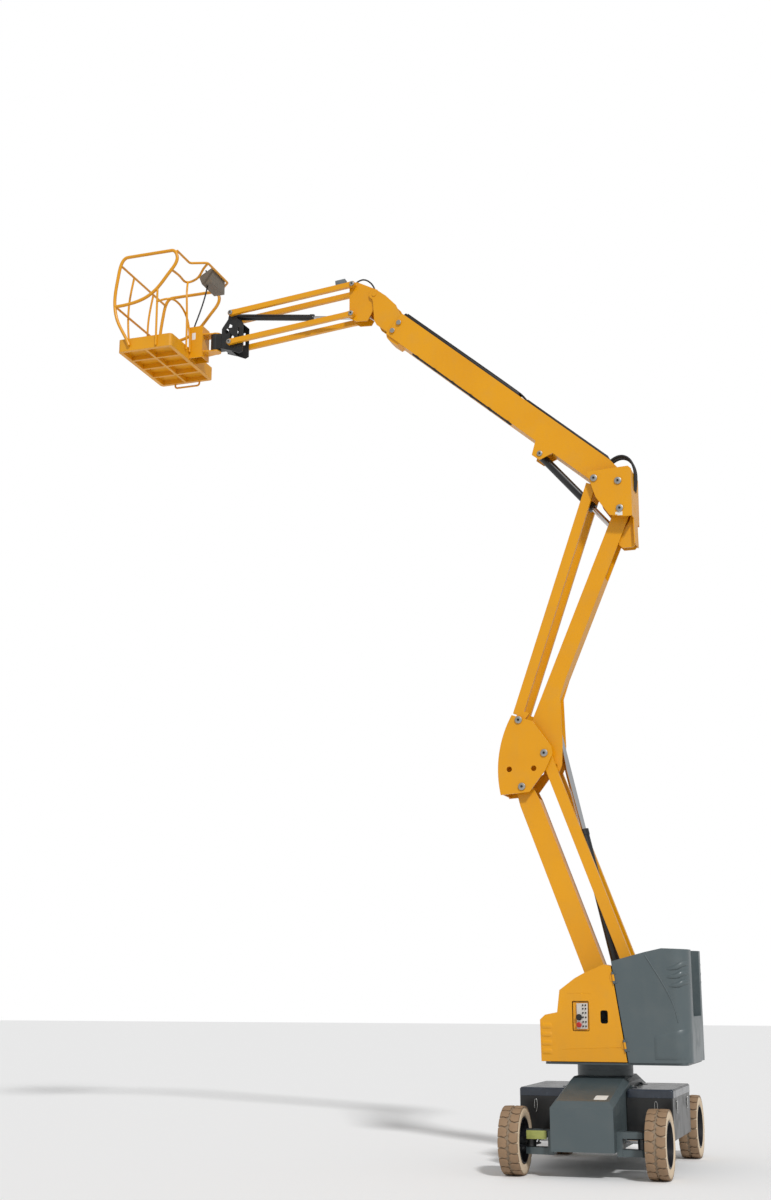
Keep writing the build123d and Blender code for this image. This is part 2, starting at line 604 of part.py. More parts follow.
# Machinery under the hoods: plain blocks, and the ground control box at the left
UNIT_OUTER = 430
PANEL_OPENING = ((40, 200), (1245, 1520))
with BuildPart() as power_unit:
    with BuildSketch(plan_plane(FLOOR_TOP)):
        for side in (-1, 1):
            with Locations((160, side * (290 + UNIT_OUTER) / 2)):
                RectangleRounded(560, UNIT_OUTER - 290, 15)
    extrude(amount=365)
export(power_unit, "power_unit")
with BuildPart() as control_box:
    with BuildSketch(plan_plane(PANEL_OPENING[1][0] + 5)):
        with Locations((sum(PANEL_OPENING[0]) / 2, (UNIT_OUTER + TURRET_HALF_WIDTH - 16) / 2)):
            Rectangle(PANEL_OPENING[0][1] - PANEL_OPENING[0][0] - 10, TURRET_HALF_WIDTH - 16 - UNIT_OUTER)
    extrude(amount=PANEL_OPENING[1][1] - PANEL_OPENING[1][0] - 10)
    face_plane = Plane(
        origin=(SLEW_X, 16 - TURRET_HALF_WIDTH, 0), x_dir=(-1, 0, 0), z_dir=(0, 1, 0),
    )
    # a switch knob above a stop button
    round_bar(face_plane, (85, 1350), 16, (-14, 0))
    round_bar(face_plane, (85, 1290), 20, (-16, 0))
export(control_box, "control_box")

# Side hoods: hinged shells that swing out about their slanted rear edge, with a lower step at
# the front, and open below and behind
HOOD_FLOOR = FLOOR_TOP + RUNNING_GAP
HOOD_OUTLINE = (
    (CHEEK_FRONT_LOW + 12, HOOD_FLOOR), (CHEEK_FRONT_HIGH + 4, HOOD_TOP - 18),
    (HOOD_PEAK, HOOD_TOP), (HOOD_PEAK + 188, HOOD_TOP - 78), (HOOD_PEAK + 282, HOOD_TOP - 128),
    (TURRET_FRONT - 188, HOOD_BROW), (TURRET_FRONT - 161, HOOD_STEP + 23),
    (TURRET_FRONT - 44, HOOD_STEP), (TURRET_FRONT + 6, HOOD_STEP - 45), (TURRET_FRONT, HOOD_FLOOR),
)
for side, name in ((-1, "left"), (1, "right")):
    with BuildPart() as side_hood:
        plate(SIDE, HOOD_OUTLINE, (CHANNEL_HALF_WIDTH, TURRET_HALF_WIDTH), (side,))
        inner_low = CHANNEL_HALF_WIDTH - 1
        inner_high = TURRET_HALF_WIDTH - HOOD_WALL
        with BuildSketch(SIDE.offset(min(side * inner_low, side * inner_high))) as pocket:
            with BuildLine():
                Polyline(*HOOD_OUTLINE, close=True)
            make_face()
            offset(amount=-HOOD_WALL, kind=Kind.INTERSECTION, mode=Mode.REPLACE)
            with BuildLine():
                Polyline(
                    (CHEEK_FRONT_LOW - 80, HOOD_FLOOR - 10),
                    (TURRET_FRONT - HOOD_WALL, HOOD_FLOOR - 10),
                    (TURRET_FRONT - HOOD_WALL, HOOD_FLOOR + 2 * HOOD_WALL),
                    (CHEEK_FRONT_HIGH + 3 * HOOD_WALL, HOOD_TOP - 50),
                    (CHEEK_FRONT_HIGH - 80, HOOD_TOP - 50), close=True,
                )
            make_face()
        extrude(pocket.sketch, amount=inner_high - inner_low, mode=Mode.SUBTRACT)
        if name == "left":
            with BuildSketch(SIDE.offset(-TURRET_HALF_WIDTH - 1)) as openings:
                with Locations((sum(PANEL_OPENING[0]) / 2, sum(PANEL_OPENING[1]) / 2)):
                    RectangleRounded(
                        PANEL_OPENING[0][1] - PANEL_OPENING[0][0],
                        PANEL_OPENING[1][1] - PANEL_OPENING[1][0], 12,
                    )
                with Locations((-103, 1375)):
                    RectangleRounded(70, 120, 20)
            extrude(openings.sketch, amount=HOOD_WALL + 2, mode=Mode.SUBTRACT)
        hinge_knuckles(side, [(s, s + HINGE_SLEEVE) for s in HINGE_STATIONS], -1)
        hinge_pins(side, HINGE_PIN_RADIUS + FIT_GAP, Mode.SUBTRACT)
    export(side_hood, f"side_hood_{name}")


# ================================================================ arms
def link_pair(start, end, lane, depth, set_back, pin_boss, bore):
    """Two square tubes side by side, with a solid eye at each end."""
    length = (end - start).length
    axis = member_plane(start, end)
    with BuildPart() as links:
        for side in (-1, 1):
            low = min(side * lane[0], side * lane[1])
            middle = side * (lane[0] + lane[1]) / 2
            with BuildSketch(section_plane(start, end, pin_boss)) as tube:
                with Locations((middle, set_back)):
                    Rectangle(lane[1] - lane[0], depth)
                    Rectangle(lane[1] - lane[0] - 12, depth - 12, mode=Mode.SUBTRACT)
            extrude(tube.sketch, amount=length - 2 * pin_boss)
            with BuildSketch(axis.offset(low)) as eyes:
                for x, way in ((0, 1), (length, -1)):
                    with BuildLine():
                        Polyline(
                            (x, -pin_boss), (x + way * 2 * pin_boss, set_back - depth / 2),
                            (x + way * 2 * pin_boss, set_back + depth / 2), (x, pin_boss), close=True,
                        )
                    make_face()
                    with Locations((x, 0)):
                        Circle(pin_boss)
                with Locations((0, 0), (length, 0)):
                    Circle(bore, mode=Mode.SUBTRACT)
            extrude(eyes.sketch, amount=lane[1] - lane[0])
    return links


# Lower arm: two cheeks with a top and a bottom flange, and a bush at each end
with BuildPart() as lower_arm:
    axis = member_plane(LOWER_PIVOT, KNUCKLE_LOW)
    half_depth = LOWER_ARM_DEPTH / 2
    FOOT_RADIUS = 75
    HEAD_RADIUS = 85
    plate(axis, (
        (0, -FOOT_RADIUS), (260, -half_depth), (LOWER_ARM_LENGTH - 160, -half_depth),
        (LOWER_ARM_LENGTH, -HEAD_RADIUS), (LOWER_ARM_LENGTH, HEAD_RADIUS),
        (LOWER_ARM_LENGTH - 160, half_depth), (260, half_depth), (0, FOOT_RADIUS),
    ), (ARM_HALF_WIDTH - ARM_CHEEK, ARM_HALF_WIDTH))
    for way in (-1, 1):
        edge = sorted((way * half_depth, way * (half_depth - FLANGE)))
        box_run(axis, (260, LOWER_ARM_LENGTH - 160), edge, ARM_HALF_WIDTH)
    for x, end_radius in ((0, FOOT_RADIUS), (LOWER_ARM_LENGTH, HEAD_RADIUS)):
        stub_pair(axis, (x, 0), end_radius, (ARM_HALF_WIDTH - ARM_CHEEK, ARM_HALF_WIDTH))
        round_bar(axis, (x, 0), BUSH_RADIUS, (-ARM_HALF_WIDTH, ARM_HALF_WIDTH))
        round_bar(axis, (x, 0), BORE, (-ARM_HALF_WIDTH, ARM_HALF_WIDTH), Mode.SUBTRACT)
export(lower_arm, "lower_arm")

lower_links = link_pair(LINK_BASE, KNUCKLE_MID, LOWER_LINK_LANE, LOWER_LINK_DEPTH, 0, 58, BORE)
export(lower_links, "lower_links")

# Knuckle: two plates with a bowed front wall between them
with BuildPart() as knuckle:
    k = Vector(KNUCKLE_MID.X, KNUCKLE_MID.Y)
    for side in (-1, 1):
        with BuildSketch(SIDE.offset(min(side * KNUCKLE_LANE[0], side * KNUCKLE_LANE[1]))) as wall:
            with BuildLine():
                Polyline(
                    k + Vector(329, 405), k + Vector(111, 330), k + Vector(-74, 67),
                    k + Vector(-85, -11), k + Vector(-9, -169), k + Vector(160, -386),
                    k + Vector(325, -399), k + Vector(458, -407),
                )
                ThreePointArc(k + Vector(458, -407), k + Vector(471, -5), k + Vector(329, 405))
            make_face()
            with Locations(k + Vector(365, -150), k + Vector(112, -150)):
                Circle(28, mode=Mode.SUBTRACT)
        extrude(wall.sketch, amount=KNUCKLE_LANE[1] - KNUCKLE_LANE[0])
    with BuildSketch(SIDE.offset(-KNUCKLE_LANE[0])) as front_wall:
        with BuildLine():
            ThreePointArc(k + Vector(452, -400), k + Vector(465, -130), k + Vector(430, 120))
            Line(k + Vector(430, 120), k + Vector(420, 118))
            ThreePointArc(k + Vector(420, 118), k + Vector(453, -130), k + Vector(440, -400))
            Line(k + Vector(440, -400), k + Vector(452, -400))
        make_face()
    extrude(front_wall.sketch, amount=2 * KNUCKLE_LANE[0])
    round_bar(SIDE, KNUCKLE_LOW, PIN_RADIUS, (-KNUCKLE_LANE[1] - 8, KNUCKLE_LANE[1] + 8))
    stub_pair(SIDE, KNUCKLE_LOW, 42, (ARM_HALF_WIDTH + 4, KNUCKLE_LANE[0]))
    stub_pair(SIDE, KNUCKLE_MID, PIN_RADIUS, (ARM_HALF_WIDTH - ARM_CHEEK - 6, KNUCKLE_LANE[1] + 8))
    stub_pair(SIDE, KNUCKLE_TOP, PIN_RADIUS, (UPPER_LINK_LANE[0] - 3, KNUCKLE_LANE[1] + 8))
export(knuckle, "knuckle")

# Upper arm: a box that leans forward of its pin line, with gusset cheeks at its foot and an
# open lane at its head, where the boom cylinder passes through
with BuildPart() as upper_arm:
    axis = member_plane(KNUCKLE_MID, BRACKET_LOW)
    half_depth = UPPER_ARM_DEPTH / 2
    HEAD_LANE = 1030           # open at the front over this length from the head pin
    BACK_LANE = 720            # open at the back over this length
    BOX_FOOT = 430
    plate(axis, (
        (UPPER_ARM_LENGTH, -half_depth), (250, UPPER_ARM_FOOT - half_depth + 17),
        (150, UPPER_ARM_FOOT - 20),
        (-40, -50), (-60, 30), (-130, 130), (-130, 185), (-60, 190), (150, 130), (347, 55),
        (600, -40), (800, UPPER_ARM_FOOT * (1 - 800 / UPPER_ARM_LENGTH) + half_depth),
        (UPPER_ARM_LENGTH, half_depth),
    ), (ARM_HALF_WIDTH - ARM_CHEEK, ARM_HALF_WIDTH))
    slope = -UPPER_ARM_FOOT / UPPER_ARM_LENGTH
    for edge, x_from, x_to in (
        (-half_depth, BOX_FOOT, UPPER_ARM_LENGTH - HEAD_LANE),
        (half_depth - FLANGE, BOX_FOOT, UPPER_ARM_LENGTH - BACK_LANE),
    ):
        with BuildSketch(axis.offset(-ARM_HALF_WIDTH)) as flange:
            with BuildLine():
                Polyline(*[
                    (x, UPPER_ARM_FOOT + slope * x + edge + lift)
                    for x, lift in ((x_from, 0), (x_to, 0), (x_to, FLANGE), (x_from, FLANGE))
                ], close=True)
            make_face()
        extrude(flange.sketch, amount=2 * ARM_HALF_WIDTH)
    cheek = (ARM_HALF_WIDTH - ARM_CHEEK, ARM_HALF_WIDTH)
    stub_pair(axis, (UPPER_ARM_LENGTH, 0), half_depth, cheek)
    stub_pair(axis, (0, 0), 60, cheek)
    stub_pair(axis, (0, 0), BORE, cheek, Mode.SUBTRACT)
    stub_pair(axis, (-85, 130), 18, cheek, Mode.SUBTRACT)
    round_bar(axis, (UPPER_ARM_LENGTH, 0), BUSH_RADIUS, (-ARM_HALF_WIDTH, ARM_HALF_WIDTH))
    round_bar(axis, (UPPER_ARM_LENGTH, 0), BORE, (-ARM_HALF_WIDTH, ARM_HALF_WIDTH), Mode.SUBTRACT)
    # the arm cylinder's pin: a stub in each gusset
    stub_pair(axis, ARM_CYLINDER_SEAT, PIN_RADIUS, (40, ARM_HALF_WIDTH))
export(upper_arm, "upper_arm")

upper_links = link_pair(
    KNUCKLE_TOP, BRACKET_FRONT, UPPER_LINK_LANE, UPPER_LINK_DEPTH, UPPER_LINK_SET_BACK, 50,
    BORE,
)
export(upper_links, "upper_links")

# Head bracket: two side plates on a back plate, with a tongue for the boom cylinder
with BuildPart() as head_bracket:
    q = Vector(BRACKET_LOW.X, BRACKET_LOW.Y)
    plate(SIDE, [q + Vector(*p) for p in (
        (334, 428), (-98, 448), (-129, 419), (-122, -90), (-40, -89), (109, -62), (247, 143),
    )], BRACKET_LANE)
    plate(SIDE, [q + Vector(*p) for p in (
        (-129, 410), (-117, 410), (-112, -85), (-124, -85),
    )], (0, BRACKET_LANE[1]))
    TONGUE_LANE = (46, 60)
    plate(SIDE, [q + Vector(*p) for p in (
        (-124, 20), (-90, 20), (-70, -90), (20, -230), (50, -280), (50, -345), (15, -380),
        (-95, -380), (-127, -350),
    )], TONGUE_LANE)
    plate(SIDE, [q + Vector(*p) for p in (
        (-124, -80), (-112, -80), (-115, -350), (-127, -350),
    )], (0, 110))
    for pivot, inner, sleeve in (
        (BRACKET_LOW, ARM_HALF_WIDTH + 4, 45), (BOOM_PIVOT, BOOM_HALF_WIDTH + 4, 45),
    ):
        round_bar(SIDE, pivot, PIN_RADIUS, (-BRACKET_LANE[1] - 8, BRACKET_LANE[1] + 8))
        stub_pair(SIDE, pivot, sleeve, (inner, BRACKET_LANE[0]))
    stub_pair(SIDE, BRACKET_FRONT, PIN_RADIUS, (UPPER_LINK_LANE[0] - 3, BRACKET_LANE[1] + 8))
    stub_pair(SIDE, BRACKET_FRONT, 38, (UPPER_LINK_LANE[1] + 4, BRACKET_LANE[0]))
    stub_pair(SIDE, TONGUE_EYE, PIN_RADIUS, (34, TONGUE_LANE[1]))
export(head_bracket, "head_bracket")


def hydraulic_cylinder(base, eye, barrel_end, radius, rod_radius, rod_inside, eye_radius, pin_radius):
    """A barrel with its eye at base, and a rod with its eye at the other point."""
    axis = member_plane(base, eye)
    length = (eye - base).length
    half_eye = 0.62 * radius
    gland = 1.2 * radius
    with BuildPart() as barrel:
        with BuildSketch(section_plane(base, eye, 0)) as tube:
            Circle(radius)
        extrude(tube.sketch, amount=barrel_end)
        with BuildSketch(section_plane(base, eye, barrel_end - gland)) as gland_ring:
            Circle(radius + 5)
        extrude(gland_ring.sketch, amount=gland)
        round_bar(axis, (0, 0), eye_radius, (-half_eye, half_eye))
        with BuildSketch(section_plane(base, eye, eye_radius + 20)) as bore:
            Circle(rod_radius + 6)
        extrude(bore.sketch, amount=barrel_end - gland - eye_radius - 20, mode=Mode.SUBTRACT)
        with BuildSketch(section_plane(base, eye, barrel_end - gland)) as gland_bore:
            Circle(rod_radius + FIT_GAP)
        extrude(gland_bore.sketch, amount=gland, mode=Mode.SUBTRACT)
        round_bar(axis, (0, 0), pin_radius + FIT_GAP, (-radius, radius), Mode.SUBTRACT)
    with BuildPart() as rod:
        with BuildSketch(section_plane(base, eye, barrel_end - rod_inside)) as shaft:
            Circle(rod_radius)
        extrude(shaft.sketch, amount=length - barrel_end + rod_inside)
        with BuildSketch(section_plane(base, eye, barrel_end - rod_inside)) as piston:
            Circle(rod_radius + 5.5)
        extrude(piston.sketch, amount=30)
        round_bar(axis, (length, 0), 0.95 * eye_radius, (-half_eye, half_eye))
        round_bar(axis, (length, 0), pin_radius + 1, (-radius, radius), Mode.SUBTRACT)
    return barrel, rod


arm_cylinder_barrel, arm_cylinder_rod = hydraulic_cylinder(
    ARM_CYLINDER_BASE, ARM_CYLINDER_EYE, 1770, ARM_CYLINDER_RADIUS, ARM_ROD_RADIUS, 180, 52, PIN_RADIUS,
)
export(arm_cylinder_barrel, "arm_cylinder_barrel")
export(arm_cylinder_rod, "arm_cylinder_rod")

# ================================================================ boom
with BuildPart() as boom_outer:
    axis = member_plane(BOOM_PIVOT, BOOM_TIP)
    half_depth = BOOM_DEPTH / 2
    with BuildSketch(axis.offset(-BOOM_HALF_WIDTH)) as side_view:
        with BuildLine():
            Polyline(
                (260, half_depth), (BOOM_FRONT, half_depth), (BOOM_FRONT, -half_depth),
                (160, -half_depth), (0, -BOOM_REAR_RADIUS), (0, BOOM_REAR_RADIUS), close=True,
            )
        make_face()
        Circle(BOOM_REAR_RADIUS)
    extrude(side_view.sketch, amount=2 * BOOM_HALF_WIDTH)
    # the inner boom's bore
    with BuildSketch(section_plane(BOOM_PIVOT, BOOM_TIP, 130)) as bore:
        Rectangle(2 * (BOOM_HALF_WIDTH - BOOM_WALL), BOOM_DEPTH - 2 * BOOM_WALL)
    extrude(bore.sketch, amount=BOOM_FRONT, mode=Mode.SUBTRACT)
    round_bar(axis, (0, 0), BORE, (-BOOM_HALF_WIDTH, BOOM_HALF_WIDTH), Mode.SUBTRACT)
    # pads at the mouth, on all four walls, that the inner boom slides in
    with BuildSketch(section_plane(BOOM_PIVOT, BOOM_TIP, BOOM_FRONT - 20 - PAD_LENGTH)) as pads:
        Rectangle(2 * BOOM_HALF_WIDTH - BOOM_WALL, PAD_WIDTH)
        Rectangle(PAD_WIDTH, BOOM_DEPTH - BOOM_WALL)
        Rectangle(2 * (INNER_HALF_WIDTH + PAD_GAP), INNER_DEPTH + 2 * PAD_GAP, mode=Mode.SUBTRACT)
    extrude(pads.sketch, amount=PAD_LENGTH)
    # a shoe under the mouth
    plate(axis, (
        (BOOM_FRONT - 210, 1 - half_depth), (BOOM_FRONT - 195, -half_depth - 32),
        (BOOM_FRONT - 100, -half_depth - 36), (BOOM_FRONT - 35, -half_depth - 28),
        (BOOM_FRONT, 1 - half_depth),
    ), (0, BOOM_HALF_WIDTH - 15))
    # ears for the boom cylinder's barrel, with their pin across
    EAR_LANE = (100, BOOM_HALF_WIDTH)
    plate(axis, (
        (BOOM_EAR[0] + 134, 5 - half_depth), (BOOM_EAR[0] + 63, BOOM_EAR[1] - 60),
        (BOOM_EAR[0] - 40, BOOM_EAR[1] - 55), (BOOM_EAR[0] - 112, 5 - half_depth),
    ), EAR_LANE)
    stub_pair(axis, BOOM_EAR, 50, EAR_LANE)
    round_bar(axis, BOOM_EAR, PIN_RADIUS, (-BOOM_HALF_WIDTH - 6, BOOM_HALF_WIDTH + 6))
    # wear pads at the mouth: their round heads show on the sides
    for up in (44, -74):
        stub_pair(axis, (BOOM_FRONT - 40, up), 28, (BOOM_HALF_WIDTH, BOOM_HALF_WIDTH + 14))
export(boom_outer, "boom_outer")

with BuildPart() as boom_inner:
    tube_plane = section_plane(BOOM_PIVOT, BOOM_TIP, INNER_REAR)
    with BuildSketch(tube_plane) as tube:
        Rectangle(2 * INNER_HALF_WIDTH, INNER_DEPTH)
        Rectangle(2 * INNER_HALF_WIDTH - 12, INNER_DEPTH - 12, mode=Mode.SUBTRACT)
    extrude(tube.sketch, amount=BOOM_FRONT + 20 - INNER_REAR)
    with BuildSketch(tube_plane) as pads:
        Rectangle(2 * (BOOM_HALF_WIDTH - BOOM_WALL - PAD_GAP), PAD_WIDTH)
        Rectangle(PAD_WIDTH, BOOM_DEPTH - 2 * (BOOM_WALL + PAD_GAP))
        Rectangle(2 * INNER_HALF_WIDTH - 2, INNER_DEPTH - 2, mode=Mode.SUBTRACT)
    extrude(pads.sketch, amount=PAD_LENGTH)
    axis = member_plane(BOOM_PIVOT, BOOM_TIP)
    # neck: two plates outside the box, rising to the jib base's pivot
    plate(axis, (
        (NECK_REAR, -INNER_DEPTH / 2), (NECK_PIVOT[0] - 262, -INNER_DEPTH / 2), (NECK_PIVOT[0] - 207, -95),
        (NECK_PIVOT[0] - 47, 65), (NECK_PIVOT[0] + 61, NECK_PIVOT[1] - 10),
        (NECK_PIVOT[0] + 20, NECK_PIVOT[1] + 58), (NECK_PIVOT[0] - 129, NECK_PIVOT[1] + 63),
        (NECK_PIVOT[0] - 303, NECK_PIVOT[1] + 44), (NECK_REAR, INNER_DEPTH / 2),
    ), NECK_LANE)
    stub_pair(axis, NECK_PIVOT, 60, NECK_LANE)
    stub_pair(axis, NECK_PIVOT, BORE, NECK_LANE, Mode.SUBTRACT)
    # foot pin of the levelling cylinder
    round_bar(axis, LEVEL_SEAT, LEVEL_PIN_RADIUS, (2 - INNER_HALF_WIDTH, INNER_HALF_WIDTH - 2))
export(boom_inner, "boom_inner")

boom_cylinder_barrel, boom_cylinder_rod = hydraulic_cylinder(
    BOOM_CYLINDER_EYE, TONGUE_EYE, 830, BOOM_CYLINDER_RADIUS, BOOM_ROD_RADIUS, 300, 46, PIN_RADIUS,
)
export(boom_cylinder_barrel, "boom_cylinder_barrel")
export(boom_cylinder_rod, "boom_cylinder_rod")

# ================================================================ jib
JIB_BORE = JIB_PIN_RADIUS + FIT_GAP
JIB_BOSS_RADIUS = 34
LEVEL_EYE_OFFSET = Vector(90, -219)
LEVEL_FOOT = BOOM_PIVOT + turned(LEVEL_SEAT, BOOM_ANGLE)
LEVEL_EYE = JIB_BASE_PIVOT + LEVEL_EYE_OFFSET
with BuildPart() as jib_base:
    j = JIB_BASE_PIVOT
    plate(SIDE, [j + Vector(*p) for p in (
        (-63, -30), (-33, 60), (211, 190), (290, 195), (305, 175), (305, -235), (225, -290),
        (87, -300), (20, -182),
    )], BASE_LANE)
    # the cross wall between the neck and the jib's tubes
    plate(SIDE, [j + Vector(*p) for p in (
        (150, -190), (162, -190), (162, 150), (150, 150),
    )], (0, BASE_LANE[1]))
    stub_pair(SIDE, JIB_BASE_PIVOT, 60, BASE_LANE)
    round_bar(SIDE, JIB_BASE_PIVOT, PIN_RADIUS, (-NECK_LANE[1] - 8, NECK_LANE[1] + 8))
    for pivot, inner in ((JIB_TOP_INNER, 0), (JIB_LOW_INNER, 0.62 * JIB_CYLINDER_RADIUS + RUNNING_GAP)):
        stub_pair(SIDE, pivot, JIB_BOSS_RADIUS, (BASE_LANE[1], JIB_TUBE_LANE[0] - 3))
        stub_pair(SIDE, pivot, JIB_PIN_RADIUS, (inner, JIB_TUBE_LANE[1] + 8))
    stub_pair(SIDE, LEVEL_EYE, LEVEL_PIN_RADIUS, (0.62 * LEVEL_CYLINDER_RADIUS + RUNNING_GAP, BASE_LANE[1]))
export(jib_base, "jib_base")

levelling_barrel, levelling_rod = hydraulic_cylinder(
    LEVEL_FOOT, LEVEL_EYE, 400, LEVEL_CYLINDER_RADIUS, 14, 235, 28, LEVEL_PIN_RADIUS,
)
export(levelling_barrel, "levelling_barrel")
export(levelling_rod, "levelling_rod")

jib_upper_tubes = link_pair(
    JIB_TOP_INNER, JIB_TOP_OUTER, JIB_TUBE_LANE, JIB_TUBE_DEPTH, 0, JIB_BOSS_RADIUS, JIB_BORE,
)
export(jib_upper_tubes, "jib_upper_tubes")
jib_lower_tubes = link_pair(
    JIB_LOW_INNER, JIB_LOW_OUTER, JIB_TUBE_LANE, JIB_TUBE_DEPTH, 0, JIB_BOSS_RADIUS, JIB_BORE,
)
export(jib_lower_tubes, "jib_lower_tubes")

ROTATOR_LOW = JIB_TOP_OUTER.Y - 398
ROTATOR_HIGH = JIB_TOP_OUTER.Y - 203
ROTATOR_SHAFT = 30
HEAD_BACK = (96, 108)          # the wall that the rotator's housing stands on
with BuildPart() as jib_head:
    h = JIB_TOP_OUTER
    for side in (-1, 1):
        with BuildSketch(SIDE.offset(min(side * JIB_HEAD_LANE[0], side * JIB_HEAD_LANE[1]))):
            with BuildLine():
                Polyline(*[h + Vector(*p) for p in (
                    (-30, 22), (10, 34), (36, 8), (48, -62), (124, -170), (124, -412), (0, -455),
                    (-103, -500), (-144, -480), (-144, -130), (-70, -60),
                )], close=True)
            make_face()
            # windows that leave a lattice of struts
            for window in (
                ((28, -118), (42, -168), (-4, -168), (-8, -140)),
                ((60, -170), (84, -196), (84, -236), (40, -236), (34, -196)),
                ((18, -236), (18, -330), (-32, -330), (-32, -286)),
                ((-72, -176), (-72, -336), (-100, -336), (-100, -176)),
            ):
                with BuildLine():
                    Polyline(*[h + Vector(*p) for p in window], close=True)
                make_face(mode=Mode.SUBTRACT)
        extrude(amount=JIB_HEAD_LANE[1] - JIB_HEAD_LANE[0])
    walls = (
        ((HEAD_BACK[0], -405), (HEAD_BACK[1], -405), (HEAD_BACK[1], -150), (HEAD_BACK[0], -150)),
        ((0, -455), (HEAD_BACK[0] + 4, -420), (HEAD_BACK[0] + 4, -408), (0, -443)),
    )
    for wall in walls:
        plate(SIDE, [h + Vector(*p) for p in wall], (0, JIB_HEAD_LANE[1]))
    # the rotator's housing: a block from the wall, and a barrel bored for its shaft
    box_run(SIDE, (h.X + 100, ROTATOR_REACH - 20), (ROTATOR_LOW + 8, ROTATOR_HIGH - 8), ROTATOR_RADIUS - 4)
    with BuildSketch(plan_plane(ROTATOR_LOW)):
        with Locations((ROTATOR_REACH, 0)):
            Circle(ROTATOR_RADIUS)
    extrude(amount=ROTATOR_HIGH - ROTATOR_LOW)
    with BuildSketch(plan_plane(ROTATOR_LOW)):
        with Locations((ROTATOR_REACH, 0)):
            Circle(ROTATOR_SHAFT + FIT_GAP)
    extrude(amount=ROTATOR_HIGH - ROTATOR_LOW, mode=Mode.SUBTRACT)
    for pivot in (JIB_TOP_OUTER, JIB_LOW_OUTER):
        round_bar(SIDE, pivot, JIB_PIN_RADIUS, (-JIB_TUBE_LANE[1] - 8, JIB_TUBE_LANE[1] + 8))
        stub_pair(SIDE, pivot, JIB_BOSS_RADIUS, (JIB_HEAD_LANE[0], JIB_TUBE_LANE[0] - 3))
export(jib_head, "jib_head")

jib_cylinder_barrel, jib_cylinder_rod = hydraulic_cylinder(
    JIB_TOP_OUTER, JIB_LOW_INNER, 1000, JIB_CYLINDER_RADIUS, JIB_ROD_RADIUS, 480, 34, JIB_PIN_RADIUS,
)
export(jib_cylinder_barrel, "jib_cylinder_barrel")
export(jib_cylinder_rod, "jib_cylinder_rod")

# ================================================================ basket
MOUNT_PLATE = 15
MOUNT_GAP = 2
MOUNT_BOX = (BASKET_INNER - 165, BASKET_INNER - 0.3)
MOUNT_BOX_HALF = 95
FLOOR_UNDER = JIB_TOP_OUTER.Y - BASKET_DROP
DECK = FLOOR_UNDER + BASKET_FLOOR
TRAY_TOP = FLOOR_UNDER + TOE_BOARD
with BuildPart() as basket_mount:
    # a shaft in the rotator, an arm above and below it, and an upright box behind the basket
    with BuildSketch(plan_plane(ROTATOR_LOW - MOUNT_GAP - MOUNT_PLATE)):
        with Locations((ROTATOR_REACH, 0)):
            Circle(ROTATOR_SHAFT)
    extrude(amount=ROTATOR_HIGH - ROTATOR_LOW + 2 * (MOUNT_GAP + MOUNT_PLATE))
    for z in (ROTATOR_LOW - MOUNT_GAP - MOUNT_PLATE, ROTATOR_HIGH + MOUNT_GAP):
        with BuildSketch(plan_plane(z)):
            with BuildLine():
                Polyline(
                    (ROTATOR_REACH, 55), (MOUNT_BOX[0] + 10, 85), (MOUNT_BOX[0] + 10, -85),
                    (ROTATOR_REACH, -55), close=True,
                )
            make_face()
            with Locations((ROTATOR_REACH, 0)):
                Circle(ROTATOR_RADIUS)
        extrude(amount=MOUNT_PLATE)
    with BuildSketch(plan_plane(FLOOR_UNDER + 20)):
        with Locations(((MOUNT_BOX[0] + MOUNT_BOX[1]) / 2, 0)):
            Rectangle(MOUNT_BOX[1] - MOUNT_BOX[0], 2 * MOUNT_BOX_HALF)
            Rectangle(MOUNT_BOX[1] - MOUNT_BOX[0] - 16, 2 * MOUNT_BOX_HALF - 16, mode=Mode.SUBTRACT)
    extrude(amount=390)
export(basket_mount, "basket_mount")

BASKET_MIDDLE = (BASKET_INNER + BASKET_OUTER) / 2
TRAY_WALL = 5
TRAY_CORNER = 40
RIB_COUNT = (2, 4)
STEP_RADIUS = 11
with BuildPart() as basket_floor:
    with BuildSketch(plan_plane(FLOOR_UNDER)):
        with Locations((BASKET_MIDDLE, 0)):
            RectangleRounded(BASKET_DEPTH, 2 * BASKET_HALF_LENGTH, TRAY_CORNER)
    extrude(amount=TOE_BOARD)
    with BuildSketch(plan_plane(DECK)):
        with Locations((BASKET_MIDDLE, 0)):
            RectangleRounded(
                BASKET_DEPTH - 2 * TRAY_WALL, 2 * (BASKET_HALF_LENGTH - TRAY_WALL),
                TRAY_CORNER - TRAY_WALL,
            )
    extrude(amount=TOE_BOARD, mode=Mode.SUBTRACT)
    cell = ((BASKET_DEPTH - 60) / RIB_COUNT[0], (2 * BASKET_HALF_LENGTH - 60) / RIB_COUNT[1])
    with BuildSketch(plan_plane(FLOOR_UNDER)):
        with Locations((BASKET_MIDDLE, 0)):
            with GridLocations(cell[0], cell[1], *RIB_COUNT):
                Rectangle(cell[0] - 30, cell[1] - 30)
    extrude(amount=BASKET_FLOOR - TRAY_WALL, mode=Mode.SUBTRACT)
    # a step of bent tube under the far end
    with BuildLine() as step:
        FilletPolyline(*[
            (SLEW_X - reach, BASKET_HALF_LENGTH - 12, FLOOR_UNDER + z)
            for reach, z in (
                (BASKET_OUTER - 190, 6), (BASKET_OUTER - 190, -48), (BASKET_INNER + 170, -48),
                (BASKET_INNER + 170, 6),
            )
        ], radius=30)
    with BuildSketch(Plane(origin=step.line @ 0, z_dir=step.line % 0)):
        Circle(STEP_RADIUS)
    sweep(path=step.line)
export(basket_floor, "basket_floor")

